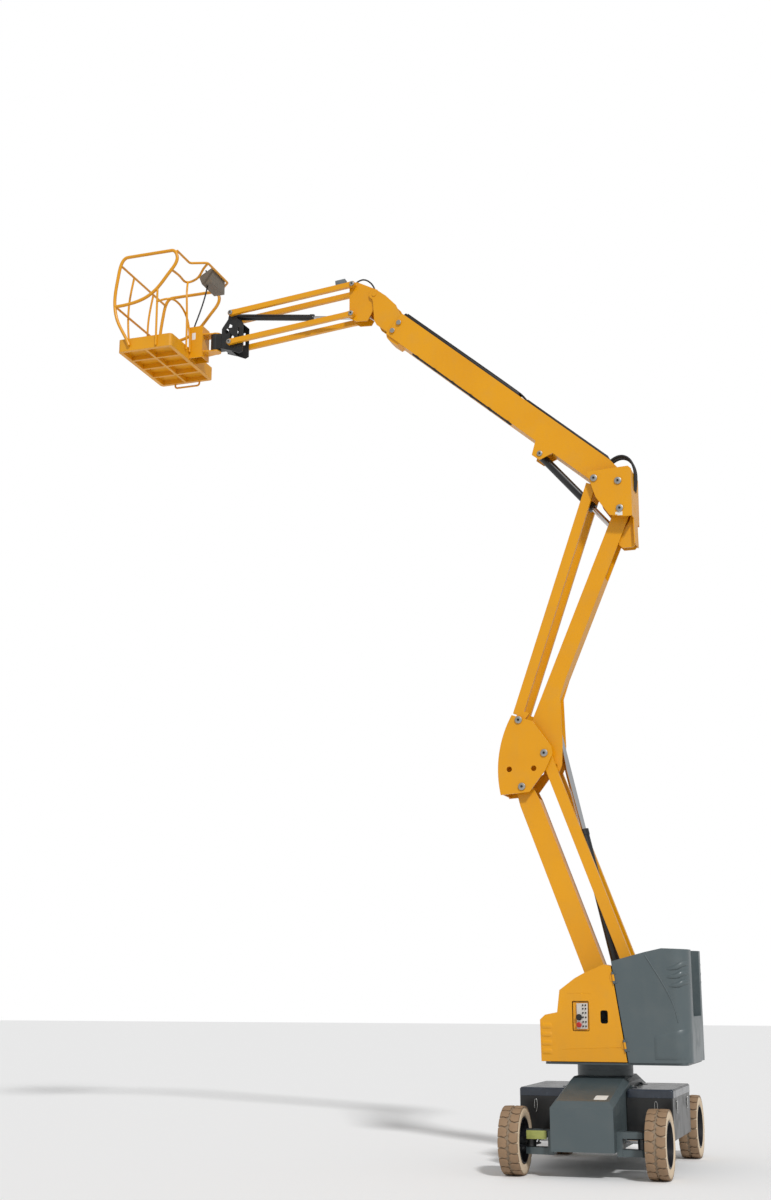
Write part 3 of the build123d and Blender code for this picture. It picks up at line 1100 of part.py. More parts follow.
# Rails: a bent frame at each end, joined by rails at the outer side and by a guard that steps
# out round the control console at the inner side
TOP_RAIL = DECK + RAIL_HEIGHT
MID_RAIL = TOP_RAIL - 605
END_LATERAL = BASKET_HALF_LENGTH + FRAME_RADIUS + 0.3
WALL_GAP = POST_RADIUS + 0.3      # a post's middle, off the tray it is bolted to
INNER_RAIL = BASKET_INNER - 46
GUARD_REACH = INNER_RAIL - 204
GUARD_HEIGHT = TOP_RAIL - 15
POST_REACH = INNER_RAIL + 236
GUARD_SPAN = (-188, 380)
OUTER_POSTS = (-250, 250)


def swept_round(path, radius):
    """A round tube along this path."""
    with BuildSketch(Plane(origin=path @ 0, z_dir=path % 0)) as section:
        Circle(radius)
    sweep(section.sketch, path=path)


def tube(radius, *points, bend=None):
    """A round tube through (reach, lateral, height): bent at its corners, or one smooth curve."""
    places = [(SLEW_X - reach, y, z) for reach, y, z in points]
    with BuildLine() as run:
        if bend:
            FilletPolyline(*places, radius=bend)
        elif len(places) == 2:
            Line(*places)
        else:
            Spline(*places)
    swept_round(run.line, radius)


# up the bulging outer corner and along the top, then down in an arc to the corner again
END_VIEW = Plane(origin=(0, 0, 0), x_dir=(-1, 0, 0), z_dir=(0, 1, 0))
with BuildLine(END_VIEW) as end_hoop:
    corner = Spline(
        (BASKET_OUTER - 150, TRAY_TOP - 95), (BASKET_OUTER + 14, TOP_RAIL - 780),
        (BASKET_OUTER + HOOP_BULGE, TOP_RAIL - 520), (BASKET_OUTER + 27, TOP_RAIL - 236),
        (BASKET_OUTER - 95, TOP_RAIL), tangents=((0.35, 1), (-1, 0)), tangent_scalars=(1, 1),
    )
    Line(corner @ 1, (INNER_RAIL + 70, TOP_RAIL))
with BuildLine(END_VIEW) as end_arc:
    Spline(
        (INNER_RAIL + 70, TOP_RAIL), (INNER_RAIL, TOP_RAIL - 75),
        (INNER_RAIL + 95, TOP_RAIL - 276), (INNER_RAIL + 215, TOP_RAIL - 421),
        (INNER_RAIL + 355, TOP_RAIL - 530), (INNER_RAIL + 555, TOP_RAIL - 590),
        (BASKET_OUTER + 46, MID_RAIL), tangents=((-1, 0), (1, 0)), tangent_scalars=(1, 1),
    )

with BuildPart() as basket_rails:
    for end in (-1, 1):
        for bow in (end_hoop, end_arc):
            swept_round(Location((SLEW_X, end * END_LATERAL, 0)) * bow.line, FRAME_RADIUS)
        # the middle post, from the arc to the tray's side
        tube(
            POST_RADIUS, (POST_REACH, end * END_LATERAL, TOP_RAIL - 440),
            (POST_REACH, end * (BASKET_HALF_LENGTH + WALL_GAP), TRAY_TOP - 130),
        )
    # outer side: a top and a middle rail, and two posts that bulge like the corners
    for reach, z in ((BASKET_OUTER - 2, TOP_RAIL - 92), (BASKET_OUTER + 46, MID_RAIL)):
        tube(RAIL_RADIUS, (reach, -END_LATERAL, z), (reach, END_LATERAL, z))
    for y in OUTER_POSTS:
        tube(
            POST_RADIUS, (BASKET_OUTER - 4, y, TOP_RAIL - 87), (BASKET_OUTER + 50, y, TOP_RAIL - 420),
            (BASKET_OUTER + 46, y, TOP_RAIL - 780), (BASKET_OUTER + WALL_GAP, y, TRAY_TOP - 50),
        )
    # inner side: the guard round the console, and the straight rail behind it
    tube(
        RAIL_RADIUS, (INNER_RAIL, -END_LATERAL, GUARD_HEIGHT),
        (INNER_RAIL, GUARD_SPAN[0] - 60, GUARD_HEIGHT),
        (GUARD_REACH, GUARD_SPAN[0], GUARD_HEIGHT), (GUARD_REACH, GUARD_SPAN[1], GUARD_HEIGHT),
        (INNER_RAIL, END_LATERAL, GUARD_HEIGHT), bend=45,
    )
    # a lower rail that rises from the near frame's arc to the guard's corner
    tube(
        RAIL_RADIUS, (INNER_RAIL + 75, -END_LATERAL, TOP_RAIL - 235),
        (INNER_RAIL + 78, -300, TOP_RAIL - 215),
        (INNER_RAIL + 70, -120, TOP_RAIL - 190), (INNER_RAIL - 15, -70, TOP_RAIL - 130),
        (GUARD_REACH + 70, -150, TOP_RAIL - 60), (GUARD_REACH, GUARD_SPAN[0] + 10, GUARD_HEIGHT),
    )
    # a bent post under it, and an arch from the middle post round the corner to the tray
    tube(
        POST_RADIUS, (INNER_RAIL + 66, -150, TOP_RAIL - 200), (INNER_RAIL + 52, -195, TOP_RAIL - 340),
        (INNER_RAIL + 40, -205, TOP_RAIL - 560),
        (BASKET_INNER - WALL_GAP, -205, TRAY_TOP - 60),
    )
    tube(
        POST_RADIUS, (POST_REACH, -END_LATERAL, TOP_RAIL - 615),
        (POST_REACH - 130, 4 - END_LATERAL, TOP_RAIL - 600),
        (INNER_RAIL + 62, -370, TOP_RAIL - 575), (INNER_RAIL + 60, -150, TOP_RAIL - 670),
        (INNER_RAIL + 42, -113, TOP_RAIL - 850),
        (BASKET_INNER - WALL_GAP, -113, TRAY_TOP - 60),
    )
export(basket_rails, "basket_rails")

with BuildPart() as control_console:
    with BuildSketch(SIDE.offset(GUARD_SPAN[0] + 168)):
        with BuildLine():
            Polyline(
                (GUARD_REACH + RAIL_RADIUS + 0.3, TOP_RAIL - 190),
                (GUARD_REACH + 150, TOP_RAIL - 190),
                (GUARD_REACH + 190, TOP_RAIL - 90),
                (GUARD_REACH + RAIL_RADIUS + 0.3, TOP_RAIL + 10), close=True,
            )
        make_face()
    extrude(amount=GUARD_SPAN[1] - GUARD_SPAN[0] - 218)
export(control_console, "control_console")
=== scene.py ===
import json
import math

import bmesh
import bpy
import numpy as np
from mathutils import Matrix, Vector
from mathutils.bvhtree import BVHTree


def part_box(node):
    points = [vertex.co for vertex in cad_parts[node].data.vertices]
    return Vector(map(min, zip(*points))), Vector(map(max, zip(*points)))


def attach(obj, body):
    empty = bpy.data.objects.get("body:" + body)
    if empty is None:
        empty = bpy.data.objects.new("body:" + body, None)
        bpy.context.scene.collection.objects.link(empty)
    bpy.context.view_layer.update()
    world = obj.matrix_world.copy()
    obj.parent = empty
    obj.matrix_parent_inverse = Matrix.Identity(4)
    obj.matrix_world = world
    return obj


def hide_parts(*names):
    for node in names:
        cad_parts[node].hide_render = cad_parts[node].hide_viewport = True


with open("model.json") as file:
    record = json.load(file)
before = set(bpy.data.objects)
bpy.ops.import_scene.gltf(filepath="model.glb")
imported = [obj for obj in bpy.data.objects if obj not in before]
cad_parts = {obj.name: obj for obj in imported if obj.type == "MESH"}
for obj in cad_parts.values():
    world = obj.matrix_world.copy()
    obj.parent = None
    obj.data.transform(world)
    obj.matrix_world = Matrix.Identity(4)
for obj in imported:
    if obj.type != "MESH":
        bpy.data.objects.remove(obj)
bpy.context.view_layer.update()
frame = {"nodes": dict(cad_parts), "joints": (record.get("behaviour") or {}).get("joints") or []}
nodes = frame["nodes"]
joints = {joint["name"]: joint for joint in frame["joints"]}
slew_x = joints["slew"]["pos_m"][0]

# ================================================================ arms and boom
# The folding arms, the boom and the jib's tubes are welded steel boxes in golden yellow gloss
# paint. The paint is a little uneven, dull where hands and dust reach, with softened edges.


class Field:
    """A number that varies over a surface; arithmetic on it adds Math nodes to its material."""

    def __init__(self, tree, socket):
        self.tree = tree
        self.socket = socket

    def math(self, operation, *terms):
        node = self.tree.nodes.new("ShaderNodeMath")
        node.operation = operation
        for slot, term in zip(node.inputs, terms):
            if isinstance(term, Field):
                self.tree.links.new(term.socket, slot)
            else:
                slot.default_value = term
        return Field(self.tree, node.outputs[0])

    def __add__(self, other):
        return self.math("ADD", self, other)

    def __sub__(self, other):
        return self.math("SUBTRACT", self, other)

    def __rsub__(self, other):
        return self.math("SUBTRACT", other, self)

    def __mul__(self, other):
        return self.math("MULTIPLY", self, other)

    def __pow__(self, other):
        return self.math("POWER", self, other)

    def __abs__(self):
        return self.math("ABSOLUTE", self)

    __radd__ = __add__
    __rmul__ = __mul__


def linear(red, green, blue):
    """The linear colour of an 8-bit screen colour."""
    steps = [channel / 255 for channel in (red, green, blue)]
    return [s / 12.92 if s < 0.04045 else ((s + 0.055) / 1.055) ** 2.4 for s in steps] + [1]


class Finish:
    """A material on the Principled shader, and what varies its colour, gloss and relief."""

    def __init__(self, name, colour, roughness, metallic=0.0):
        self.material = bpy.data.materials.new(name)
        self.material.use_nodes = True
        self.tree = self.material.node_tree
        self.shader = self.tree.nodes["Principled BSDF"]
        self.shader.inputs["Base Color"].default_value = linear(*colour)
        self.shader.inputs["Roughness"].default_value = roughness
        self.shader.inputs["Metallic"].default_value = metallic
        self.colour = linear(*colour)
        self.place = self.add("ShaderNodeTexCoord", {}, {}, "Object")

    def add(self, kind, settings, inputs, output=0):
        """A node of this kind: its settings first, then its sockets' values or links."""
        node = self.tree.nodes.new(kind)
        for name, value in settings.items():
            setattr(node, name, value)
        for name, value in inputs.items():
            if isinstance(value, Field):
                self.tree.links.new(value.socket, node.inputs[name])
            else:
                node.inputs[name].default_value = value
        return Field(self.tree, node.outputs[output])

    def noise(self, scale, detail=3.0, stretch=(1, 1, 1)):
        """Soft mottling, from 0 to 1, with this many spots in a metre."""
        where = self.add("ShaderNodeMapping", {}, {"Vector": self.place, "Scale": stretch})
        return self.add(
            "ShaderNodeTexNoise", {}, {"Vector": where, "Scale": scale, "Detail": detail},
        )

    def ramp(self, value, low, high):
        """value, stretched so that low gives 0 and high gives 1."""
        return self.add(
            "ShaderNodeMapRange", {}, {"Value": value, "From Min": low, "From Max": high},
        )

    def along(self, axis):
        """How far along the object's x, y or z."""
        return self.add("ShaderNodeSeparateXYZ", {}, {"Vector": self.place}, "XYZ".index(axis))

    def tint(self, factor, colour, base=None):
        """The base colour, or another, turned towards this colour by the factor."""
        mixed = {"Factor": factor, 6: base or self.colour, 7: linear(*colour)}
        return self.add("ShaderNodeMix", {"data_type": "RGBA"}, mixed, 2)

    def feed(self, name, value):
        self.tree.links.new(value.socket, self.shader.inputs[name])

    def relief(self, height, distance, soft_edge=0.0):
        """Raises the surface by height times this distance, in metres, over softened edges."""
        inputs = {"Height": height, "Distance": distance, "Strength": 1.0}
        if soft_edge:
            inputs["Normal"] = self.add("ShaderNodeBevel", {"samples": 4}, {"Radius": soft_edge})
        self.feed("Normal", self.add("ShaderNodeBump", {}, inputs))


def machine_paint(name, colour, dusty, faded, gloss=0.30, edge=0.004):
    """Sprayed gloss paint: orange peel, faded patches, run marks, and dust that dulls it."""
    paint = Finish(name, colour, gloss)
    patches = paint.ramp(paint.noise(1.7, 2.0), 0.35, 0.75)
    streaks = paint.ramp(paint.noise(9.0, 3.0, (1, 1, 0.12)), 0.52, 0.80)
    dust = paint.ramp(paint.noise(6.0, 6.0), 0.50, 0.82)
    tone = paint.tint(patches * 0.5, faded)
    paint.feed("Base Color", paint.tint(dust * 0.22 + streaks * 0.14, dusty, tone))
    paint.feed("Roughness", dust * 0.22 + streaks * 0.08 + gloss)
    paint.relief(paint.noise(420.0, 1.0), 0.00012, edge)
    paint.shader.inputs["Coat Weight"].default_value = 0.12
    paint.shader.inputs["Coat Roughness"].default_value = 0.12
    return paint.material


golden_paint = machine_paint("golden_paint", (226, 156, 0), (190, 140, 50), (214, 142, 0))


def dress(names, material):
    """These CAD nodes take the material in every slot."""
    for name in names:
        slots = nodes[name].material_slots
        for slot in slots:
            slot.material = material
        if not slots:
            nodes[name].data.materials.append(material)


dress((
    "lower_arm", "lower_links", "knuckle", "upper_arm", "upper_links", "head_bracket", "boom_outer",
    "boom_inner", "jib_base", "jib_upper_tubes", "jib_lower_tubes", "basket_mount",
    "side_hood_left", "side_hood_right",
), golden_paint)


# ================================================================ pins
# Each joint's pin is turned steel, held by a zinc-plated cap with one dark bolt in the middle.
# The caps stand on the outer plate that carries the pin.


def at(reach, side, height):
    """A point from its reach ahead of the slew axis, its side and its height, in millimetres."""
    return Vector((slew_x - reach / 1000, side / 1000, height / 1000))


def finished(name, mesh, material, body):
    """The mesh as a piece of this finish that rides on the body."""
    piece = bpy.data.objects.new(name, mesh)
    bpy.context.scene.collection.objects.link(piece)
    if not mesh.materials:
        mesh.materials.append(material)
    mesh.shade_smooth()
    mesh.set_sharp_from_angle(angle=math.radians(35))
    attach(piece, body)
    return piece


def turned(profile, steps=32):
    """A mesh turned round z from (radius, height) corners in millimetres, its ends closed."""
    shape = bmesh.new()
    rings = []
    for radius, height in profile:
        rings.append([
            shape.verts.new(Vector((
                radius * math.cos(2 * math.pi * step / steps),
                radius * math.sin(2 * math.pi * step / steps), height,
            )) / 1000) for step in range(steps)
        ])
    for low, high in zip(rings, rings[1:]):
        for step in range(steps):
            after = (step + 1) % steps
            shape.faces.new((low[step], low[after], high[after], high[step]))
    shape.faces.new(rings[0][::-1])
    shape.faces.new(rings[-1])
    bmesh.ops.recalc_face_normals(shape, faces=shape.faces)
    mesh = bpy.data.meshes.new("turned")
    shape.to_mesh(mesh)
    shape.free()
    return mesh


def pattern_tree():
    """Geometry nodes that put a stamp on every point, turned as the point's own attribute says."""
    tree = bpy.data.node_groups.new("stamped", "GeometryNodeTree")
    sockets = {}
    for label, kind in (
        ("Geometry", "Geometry"), ("Stamp", "Object"), ("Size", "Float"), ("Finish", "Material"),
    ):
        sockets[label] = tree.interface.new_socket(
            label, in_out="INPUT", socket_type="NodeSocket" + kind,
        ).identifier
    tree.interface.new_socket("Geometry", in_out="OUTPUT", socket_type="NodeSocketGeometry")
    given = tree.nodes.new("NodeGroupInput")
    stamp = tree.nodes.new("GeometryNodeObjectInfo")
    turn = tree.nodes.new("GeometryNodeInputNamedAttribute")
    turn.data_type = "FLOAT_VECTOR"
    turn.inputs["Name"].default_value = "turn"
    copies = tree.nodes.new("GeometryNodeInstanceOnPoints")
    real = tree.nodes.new("GeometryNodeRealizeInstances")
    coat = tree.nodes.new("GeometryNodeSetMaterial")
    result = tree.nodes.new("NodeGroupOutput")
    for source, target in (
        (given.outputs["Stamp"], stamp.inputs["Object"]),
        (given.outputs["Geometry"], copies.inputs["Points"]),
        (stamp.outputs["Geometry"], copies.inputs["Instance"]),
        (turn.outputs["Attribute"], copies.inputs["Rotation"]),
        (given.outputs["Size"], copies.inputs["Scale"]),
        (copies.outputs["Instances"], real.inputs["Geometry"]),
        (real.outputs["Geometry"], coat.inputs["Geometry"]),
        (given.outputs["Finish"], coat.inputs["Material"]),
        (coat.outputs["Geometry"], result.inputs["Geometry"]),
    ):
        tree.links.new(source, target)
    return tree, sockets


stamped, stamped_inputs = pattern_tree()


def repeated(name, stamp_mesh, places, material, body, size=1.0):
    """A copy of the stamp at each place: a point, and a turn or the way the stamp's z points."""
    points = bpy.data.meshes.new(name + "_points")
    points.from_pydata([tuple(point) for point, _ in places], [], [])
    turns = points.attributes.new("turn", "FLOAT_VECTOR", "POINT")
    for entry, (_, way) in zip(turns.data, places):
        euler = way.to_track_quat("Z", "Y").to_euler() if isinstance(way, Vector) else way.to_euler()
        entry.vector = tuple(euler)
    carrier = bpy.data.objects.new(name + "_carrier", points)
    stamp = bpy.data.objects.new(name + "_stamp", stamp_mesh)
    for drawn in (carrier, stamp):
        bpy.context.scene.collection.objects.link(drawn)
    modifier = carrier.modifiers.new("stamped", "NODES")
    modifier.node_group = stamped
    modifier[stamped_inputs["Stamp"]] = stamp
    modifier[stamped_inputs["Size"]] = size
    modifier[stamped_inputs["Finish"]] = material
    bpy.context.view_layer.update()
    mesh = bpy.data.meshes.new_from_object(
        carrier.evaluated_get(bpy.context.evaluated_depsgraph_get()),
    )
    carrier.modifiers.clear()
    bpy.data.objects.remove(carrier)
    bpy.data.objects.remove(stamp)
    return finished(name, mesh, material, body)


skins = {}


def skin(node, start, way):
    """Where a straight line from start first meets the node, and which way the skin faces there."""
    if node not in skins:
        mesh = nodes[node].data
        skins[node] = BVHTree.FromPolygons(
            [v.co.copy() for v in mesh.vertices], [tuple(p.vertices) for p in mesh.polygons],
        )
    hit, normal, _, _ = skins[node].ray_cast(start, way)
    if hit is None:
        return None, None
    return hit, -normal if normal.dot(way) > 0 else normal


zinc = Finish("zinc_plate", (190, 188, 182), 0.38, 0.9)
zinc_mottle = zinc.noise(60.0, 3.0)
zinc.feed("Base Color", zinc.tint(zinc_mottle, (150, 150, 146)))
zinc.feed("Roughness", zinc_mottle * 0.3 + 0.25)
bolt_steel = Finish("dark_bolt", (46, 46, 48), 0.45, 0.6)
bolt_steel.feed("Roughness", bolt_steel.noise(90.0) * 0.3 + 0.3)
CAP_PROFILE = ((0.5, -3), (36, -3), (38, 0), (36, 6), (28, 9), (0.5, 9))
HEX_PROFILE = ((0.5, 0), (13, 0), (13, 7), (11, 9), (0.5, 9))
cap_stations = (
    ("turret", "mast", ((-128, 1300), (-365, 1630), (-240, 1450)), 1.0),
    ("knuckle", "knuckle", ((721, 3609), (484, 3939), (742, 4289)), 1.0),
    ("head_bracket", "head_bracket", ((-380, 6422), (-122, 6772), (-372, 6718)), 1.0),
    ("boom_outer", "boom_outer", ((467, 7143),), 0.8),
    ("jib_base", "jib_base", ((2587, 9410), (2597, 9050)), 0.75),
    ("jib_head", "jib_head", ((4090, 9273), (4100, 8913)), 0.75),
)
for body, node, stations, size in cap_stations:
    caps = []
    for reach, height in stations:
        for side in (-1, 1):
            place, _ = skin(node, at(reach, side * 700, height), Vector((0, -side, 0)))
            if place is not None and abs(place.y) > 0.02:
                caps.append((place, Vector((0, side, 0))))
    proud = [(place + 0.009 * size * way, way) for place, way in caps]
    repeated(body + "_pin_caps", turned(CAP_PROFILE), caps, zinc.material, body, size)
    repeated(
        body + "_pin_bolts", turned(HEX_PROFILE, 6), proud, bolt_steel.material, body, size,
    )

# ================================================================ cylinders
# The barrels are black-painted tube; the rods are hard chrome, ground and nearly mirror bright.
black_paint = machine_paint("black_paint", (24, 25, 26), (70, 66, 60), (34, 35, 36), 0.34, 0.003)
dress((
    "jib_head", "levelling_barrel", "jib_cylinder_barrel", "arm_cylinder_barrel",
    "boom_cylinder_barrel", "power_unit", "steering_knuckle_left", "steering_knuckle_right",
), black_paint)
chrome = Finish("chrome_rod", (212, 214, 216), 0.12, 1.0)
chrome.feed("Roughness", chrome.noise(300.0, 1.0, (1, 1, 0.1)) * 0.10 + 0.08)
dress((
    "arm_cylinder_rod", "boom_cylinder_rod", "jib_cylinder_rod", "levelling_rod", "steering_rod",
), chrome.material)

# ================================================================ chassis
# The low chassis is folded and welded plate in slate-grey satin paint. Its sloping hood carries
# a blank white sticker, and its fork a pale cover block.


def slab(name, outline, sides, material, body, ease=2.0):
    """A plate of this side-view outline, between two sides, with eased edges."""
    shape = bmesh.new()
    near = [shape.verts.new(at(reach, sides[0], height)) for reach, height in outline]
    face = shape.faces.new(near)
    grown = bmesh.ops.extrude_face_region(shape, geom=[face])["geom"]
    for vertex in grown:
        if isinstance(vertex, bmesh.types.BMVert):
            vertex.co.y = sides[1] / 1000
    bmesh.ops.recalc_face_normals(shape, faces=shape.faces)
    if ease:
        bmesh.ops.bevel(
            shape, geom=shape.edges[:], offset=ease / 1000, segments=2, profile=0.5,
            affect="EDGES", clamp_overlap=True,
        )
    mesh = bpy.data.meshes.new(name)
    shape.to_mesh(mesh)
    shape.free()
    return finished(name, mesh, material, body)


chassis_paint = machine_paint(
    "chassis_paint", (74, 85, 88), (98, 100, 98), (82, 93, 96), 0.40,
)
dress(("chassis_frame", "front_axle", "rear_axle", "turntable", "mast"), chassis_paint)
sticker = Finish("blank_sticker", (236, 236, 232), 0.45)
sticker.feed("Base Color", sticker.tint(sticker.noise(40.0), (214, 212, 206)))
sticker.feed("Roughness", sticker.noise(25.0) * 0.2 + 0.35)


def patch(name, node, corners, way, lift, cells, material, body):
    """A raised skin over part of a node: corners in order, seen along way, lifted in millimetres."""
    across, up = cells
    shape = bmesh.new()
    grid = {}
    for row in range(up + 1):
        for column in range(across + 1):
            u, v = column / across, row / up
            low = corners[0].lerp(corners[1], u)
            high = corners[3].lerp(corners[2], u)
            place, facing = skin(node, low.lerp(high, v), way)
            if place is None:
                continue
            rim = row in (0, up) or column in (0, across)
            grid[row, column] = shape.verts.new(place + facing * (-0.001 if rim else lift / 1000))
    for row in range(up):
        for column in range(across):
            ring = [grid.get(key) for key in (
                (row, column), (row, column + 1), (row + 1, column + 1), (row + 1, column),
            )]
            if all(ring):
                shape.faces.new(ring)
    loose = [vertex for vertex in shape.verts if not vertex.link_faces]
    bmesh.ops.delete(shape, geom=loose, context="VERTS")
    bmesh.ops.recalc_face_normals(shape, faces=shape.faces)
    middle = sum((f.normal for f in shape.faces), Vector())
    if middle.dot(way) > 0:
        bmesh.ops.reverse_faces(shape, faces=shape.faces)
    mesh = bpy.data.meshes.new(name)
    shape.to_mesh(mesh)
    shape.free()
    return finished(name, mesh, material, body)


NEAR, FAR, BACK = Vector((0, 1, 0)), Vector((0, -1, 0)), Vector((-1, 0, 0))
FRONT, DOWN = Vector((1, 0, 0)), Vector((0, 0, -1))
patch(
    "nose_sticker", "chassis_frame",
    [at(-80, -1100, 1500), at(-215, -1100, 1500), at(-215, -940, 1500), at(-80, -940, 1500)],
    DOWN, 1.2, (6, 6), sticker.material, "chassis",
)
pale_cover = Finish("pale_green_cover", (168, 172, 92), 0.5)
pale_cover.feed("Base Color", pale_cover.tint(pale_cover.noise(30.0), (140, 146, 80)))
pale_cover.feed("Roughness", pale_cover.noise(30.0) * 0.2 + 0.4)
slab(
    "fork_cover", [(530, 322), (345, 322), (345, 396), (530, 396)], (-1092, -1076),
    pale_cover.material, "chassis", 4.0,
)

# ================================================================ battery boxes
# Black pressed-steel boxes hang on both sides, each with a glossy moulded lid that chrome
# over-centre hooks hold down.


def drawn_run(name, points, radius, radii=None, steps=8):
    """A smooth round curve led by these points, thick as radius, or tapered by radii."""
    curve = bpy.data.curves.new(name, "CURVE")
    curve.dimensions = "3D"
    curve.bevel_depth = radius / 1000
    curve.bevel_resolution = 4
    curve.use_fill_caps = True
    run = curve.splines.new("NURBS")
    run.points.add(len(points) - 1)
    for step, (control, point) in enumerate(zip(run.points, points)):
        control.co = (*point, 1)
        control.radius = radii[step] if radii else 1
    run.order_u = 3
    run.use_endpoint_u = True
    run.resolution_u = steps
    drawn = bpy.data.objects.new(name, curve)
    bpy.context.scene.collection.objects.link(drawn)
    return drawn


def frozen(drawn):
    """The mesh of a curve object as it stands."""
    bpy.context.view_layer.update()
    return bpy.data.meshes.new_from_object(
        drawn.evaluated_get(bpy.context.evaluated_depsgraph_get())
    )


def hose(name, points, radius, material, body, radii=None):
    """A round run fastened along a part, as a mesh."""
    drawn = drawn_run(name, points, radius, radii)
    mesh = frozen(drawn)
    bpy.data.objects.remove(drawn)
    return finished(name, mesh, material, body)


dress(("battery_boxes", "batteries"), black_paint)
lid_gloss = machine_paint("lid_plastic", (40, 46, 56), (96, 104, 116), (50, 56, 66), 0.16, 0.006)
dress(("battery_lid_left", "battery_lid_right"), lid_gloss)
bright = Finish("bright_hardware", (196, 196, 194), 0.25, 1.0)
bright.feed("Roughness", bright.noise(120.0) * 0.2 + 0.15)
HOOK_WIRE = 3.5
HOOK_STAND_OFF = 0.006
HOOK_OUTLINE = (
    (-0.012, -0.05), (-0.014, -0.01), (-0.010, 0.03), (0.010, 0.03), (0.014, -0.01),
    (0.012, -0.05), (0.0, -0.085),
)
hook_spots = [
    (f"box_hook_{label}_{end}", at(side * 1300, station, 600), Vector((side, 0, 0)))
    for side, label in ((1, "left"), (-1, "right")) for station, end in ((-330, "front"), (330, "rear"))
] + [
    (f"box_front_hook_{label}", at(reach, -1500, 600), NEAR)
    for label, reach in (("left", 560), ("right", -560))
]
for name, start, way in hook_spots:
    place, _ = skin("battery_boxes", start, way)
    if place is None:
        continue
    sideways = Vector((way.y, abs(way.x), 0))
    hose(
        name,
        [
            place - way * HOOK_STAND_OFF + sideways * across + Vector((0, 0, up))
            for across, up in HOOK_OUTLINE
        ],
        HOOK_WIRE, bright.material, "chassis",
    )

# ================================================================ tyres and wheels
# Solid non-marking tyres: tan rubber with deep zig-zag blocks and pale shoulders, pressed on
# dark dished rims that nine nuts hold to the hub.
TYRE_RADIUS = 300
BLOCKS_ROUND = 20
GROOVE = 14
wheel_names = [f"{end}_{side}" for end in ("front", "rear") for side in ("left", "right")]
tyre_rubber = Finish("tyre_rubber", (150, 122, 94), 0.8)
from_axle = abs(abs(tyre_rubber.along("Y")) - 1.0)
above = tyre_rubber.along("Z") - TYRE_RADIUS / 1000
radius = (from_axle ** 2.0 + above ** 2.0) ** 0.5
tread = tyre_rubber.ramp(radius, 0.279, 0.290)
# painted shade: the rubber is painted darker from the tops of the tread blocks down into the grooves between
# them
groove_shade = 1 - tyre_rubber.ramp(radius, 0.287, 0.297)
mud = tyre_rubber.noise(22.0, 5.0)
wall = tyre_rubber.tint(1 - mud * 0.35, (222, 202, 174))
# dark brown that mixes painted shade in the grooves with mottled mud
groove_shade_and_mud = tyre_rubber.tint(groove_shade * 0.7 + mud * 0.25, (66, 52, 40))
wall_and_tread = {"Factor": tread, 6: wall, 7: groove_shade_and_mud}
tyre_rubber.feed(
    "Base Color", tyre_rubber.add("ShaderNodeMix", {"data_type": "RGBA"}, wall_and_tread, 2),
)
tyre_rubber.feed("Roughness", mud * 0.25 + 0.62)
tyre_rubber.relief(tyre_rubber.noise(240.0, 2.0), 0.0006, 0.003)


def tread_block():
    """One zig-zag block, its top curved to the tyre's radius."""
    shape = bmesh.new()
    outline = (
        (-41, 92), (35, 92), (46, 52), (36, 22), (14, 4), (-6, 12), (-30, 5), (-46, 30), (-36, 56),
    )
    face = shape.faces.new([shape.verts.new((x, y, 0)) for x, y in outline])
    top = bmesh.ops.extrude_face_region(shape, geom=[face])["geom"]
    for vertex in top:
        if isinstance(vertex, bmesh.types.BMVert):
            vertex.co = Vector((vertex.co.x * 0.96, 2 + vertex.co.y * 0.955, GROOVE))
    bmesh.ops.recalc_face_normals(shape, faces=shape.faces)
    bmesh.ops.bevel(
        shape, geom=[e for e in shape.edges if e.verts[0].co.z + e.verts[1].co.z > 2 * GROOVE - 1],
        offset=2.2, segments=2, profile=0.6, affect="EDGES", clamp_overlap=True,
    )
    for cut in (-24, 0, 24):
        bmesh.ops.bisect_plane(
            shape, geom=shape.verts[:] + shape.edges[:] + shape.faces[:],
            plane_co=(cut, 0, 0), plane_no=(1, 0, 0),
        )
    for vertex in shape.verts:
        shoulder = max(0.0, abs(vertex.co.y) - 70)
        vertex.co.z -= vertex.co.x ** 2 / (2 * TYRE_RADIUS) + shoulder ** 2 / 120
        vertex.co /= 1000
    mesh = bpy.data.meshes.new("tread_block")
    shape.to_mesh(mesh)
    shape.free()
    return mesh


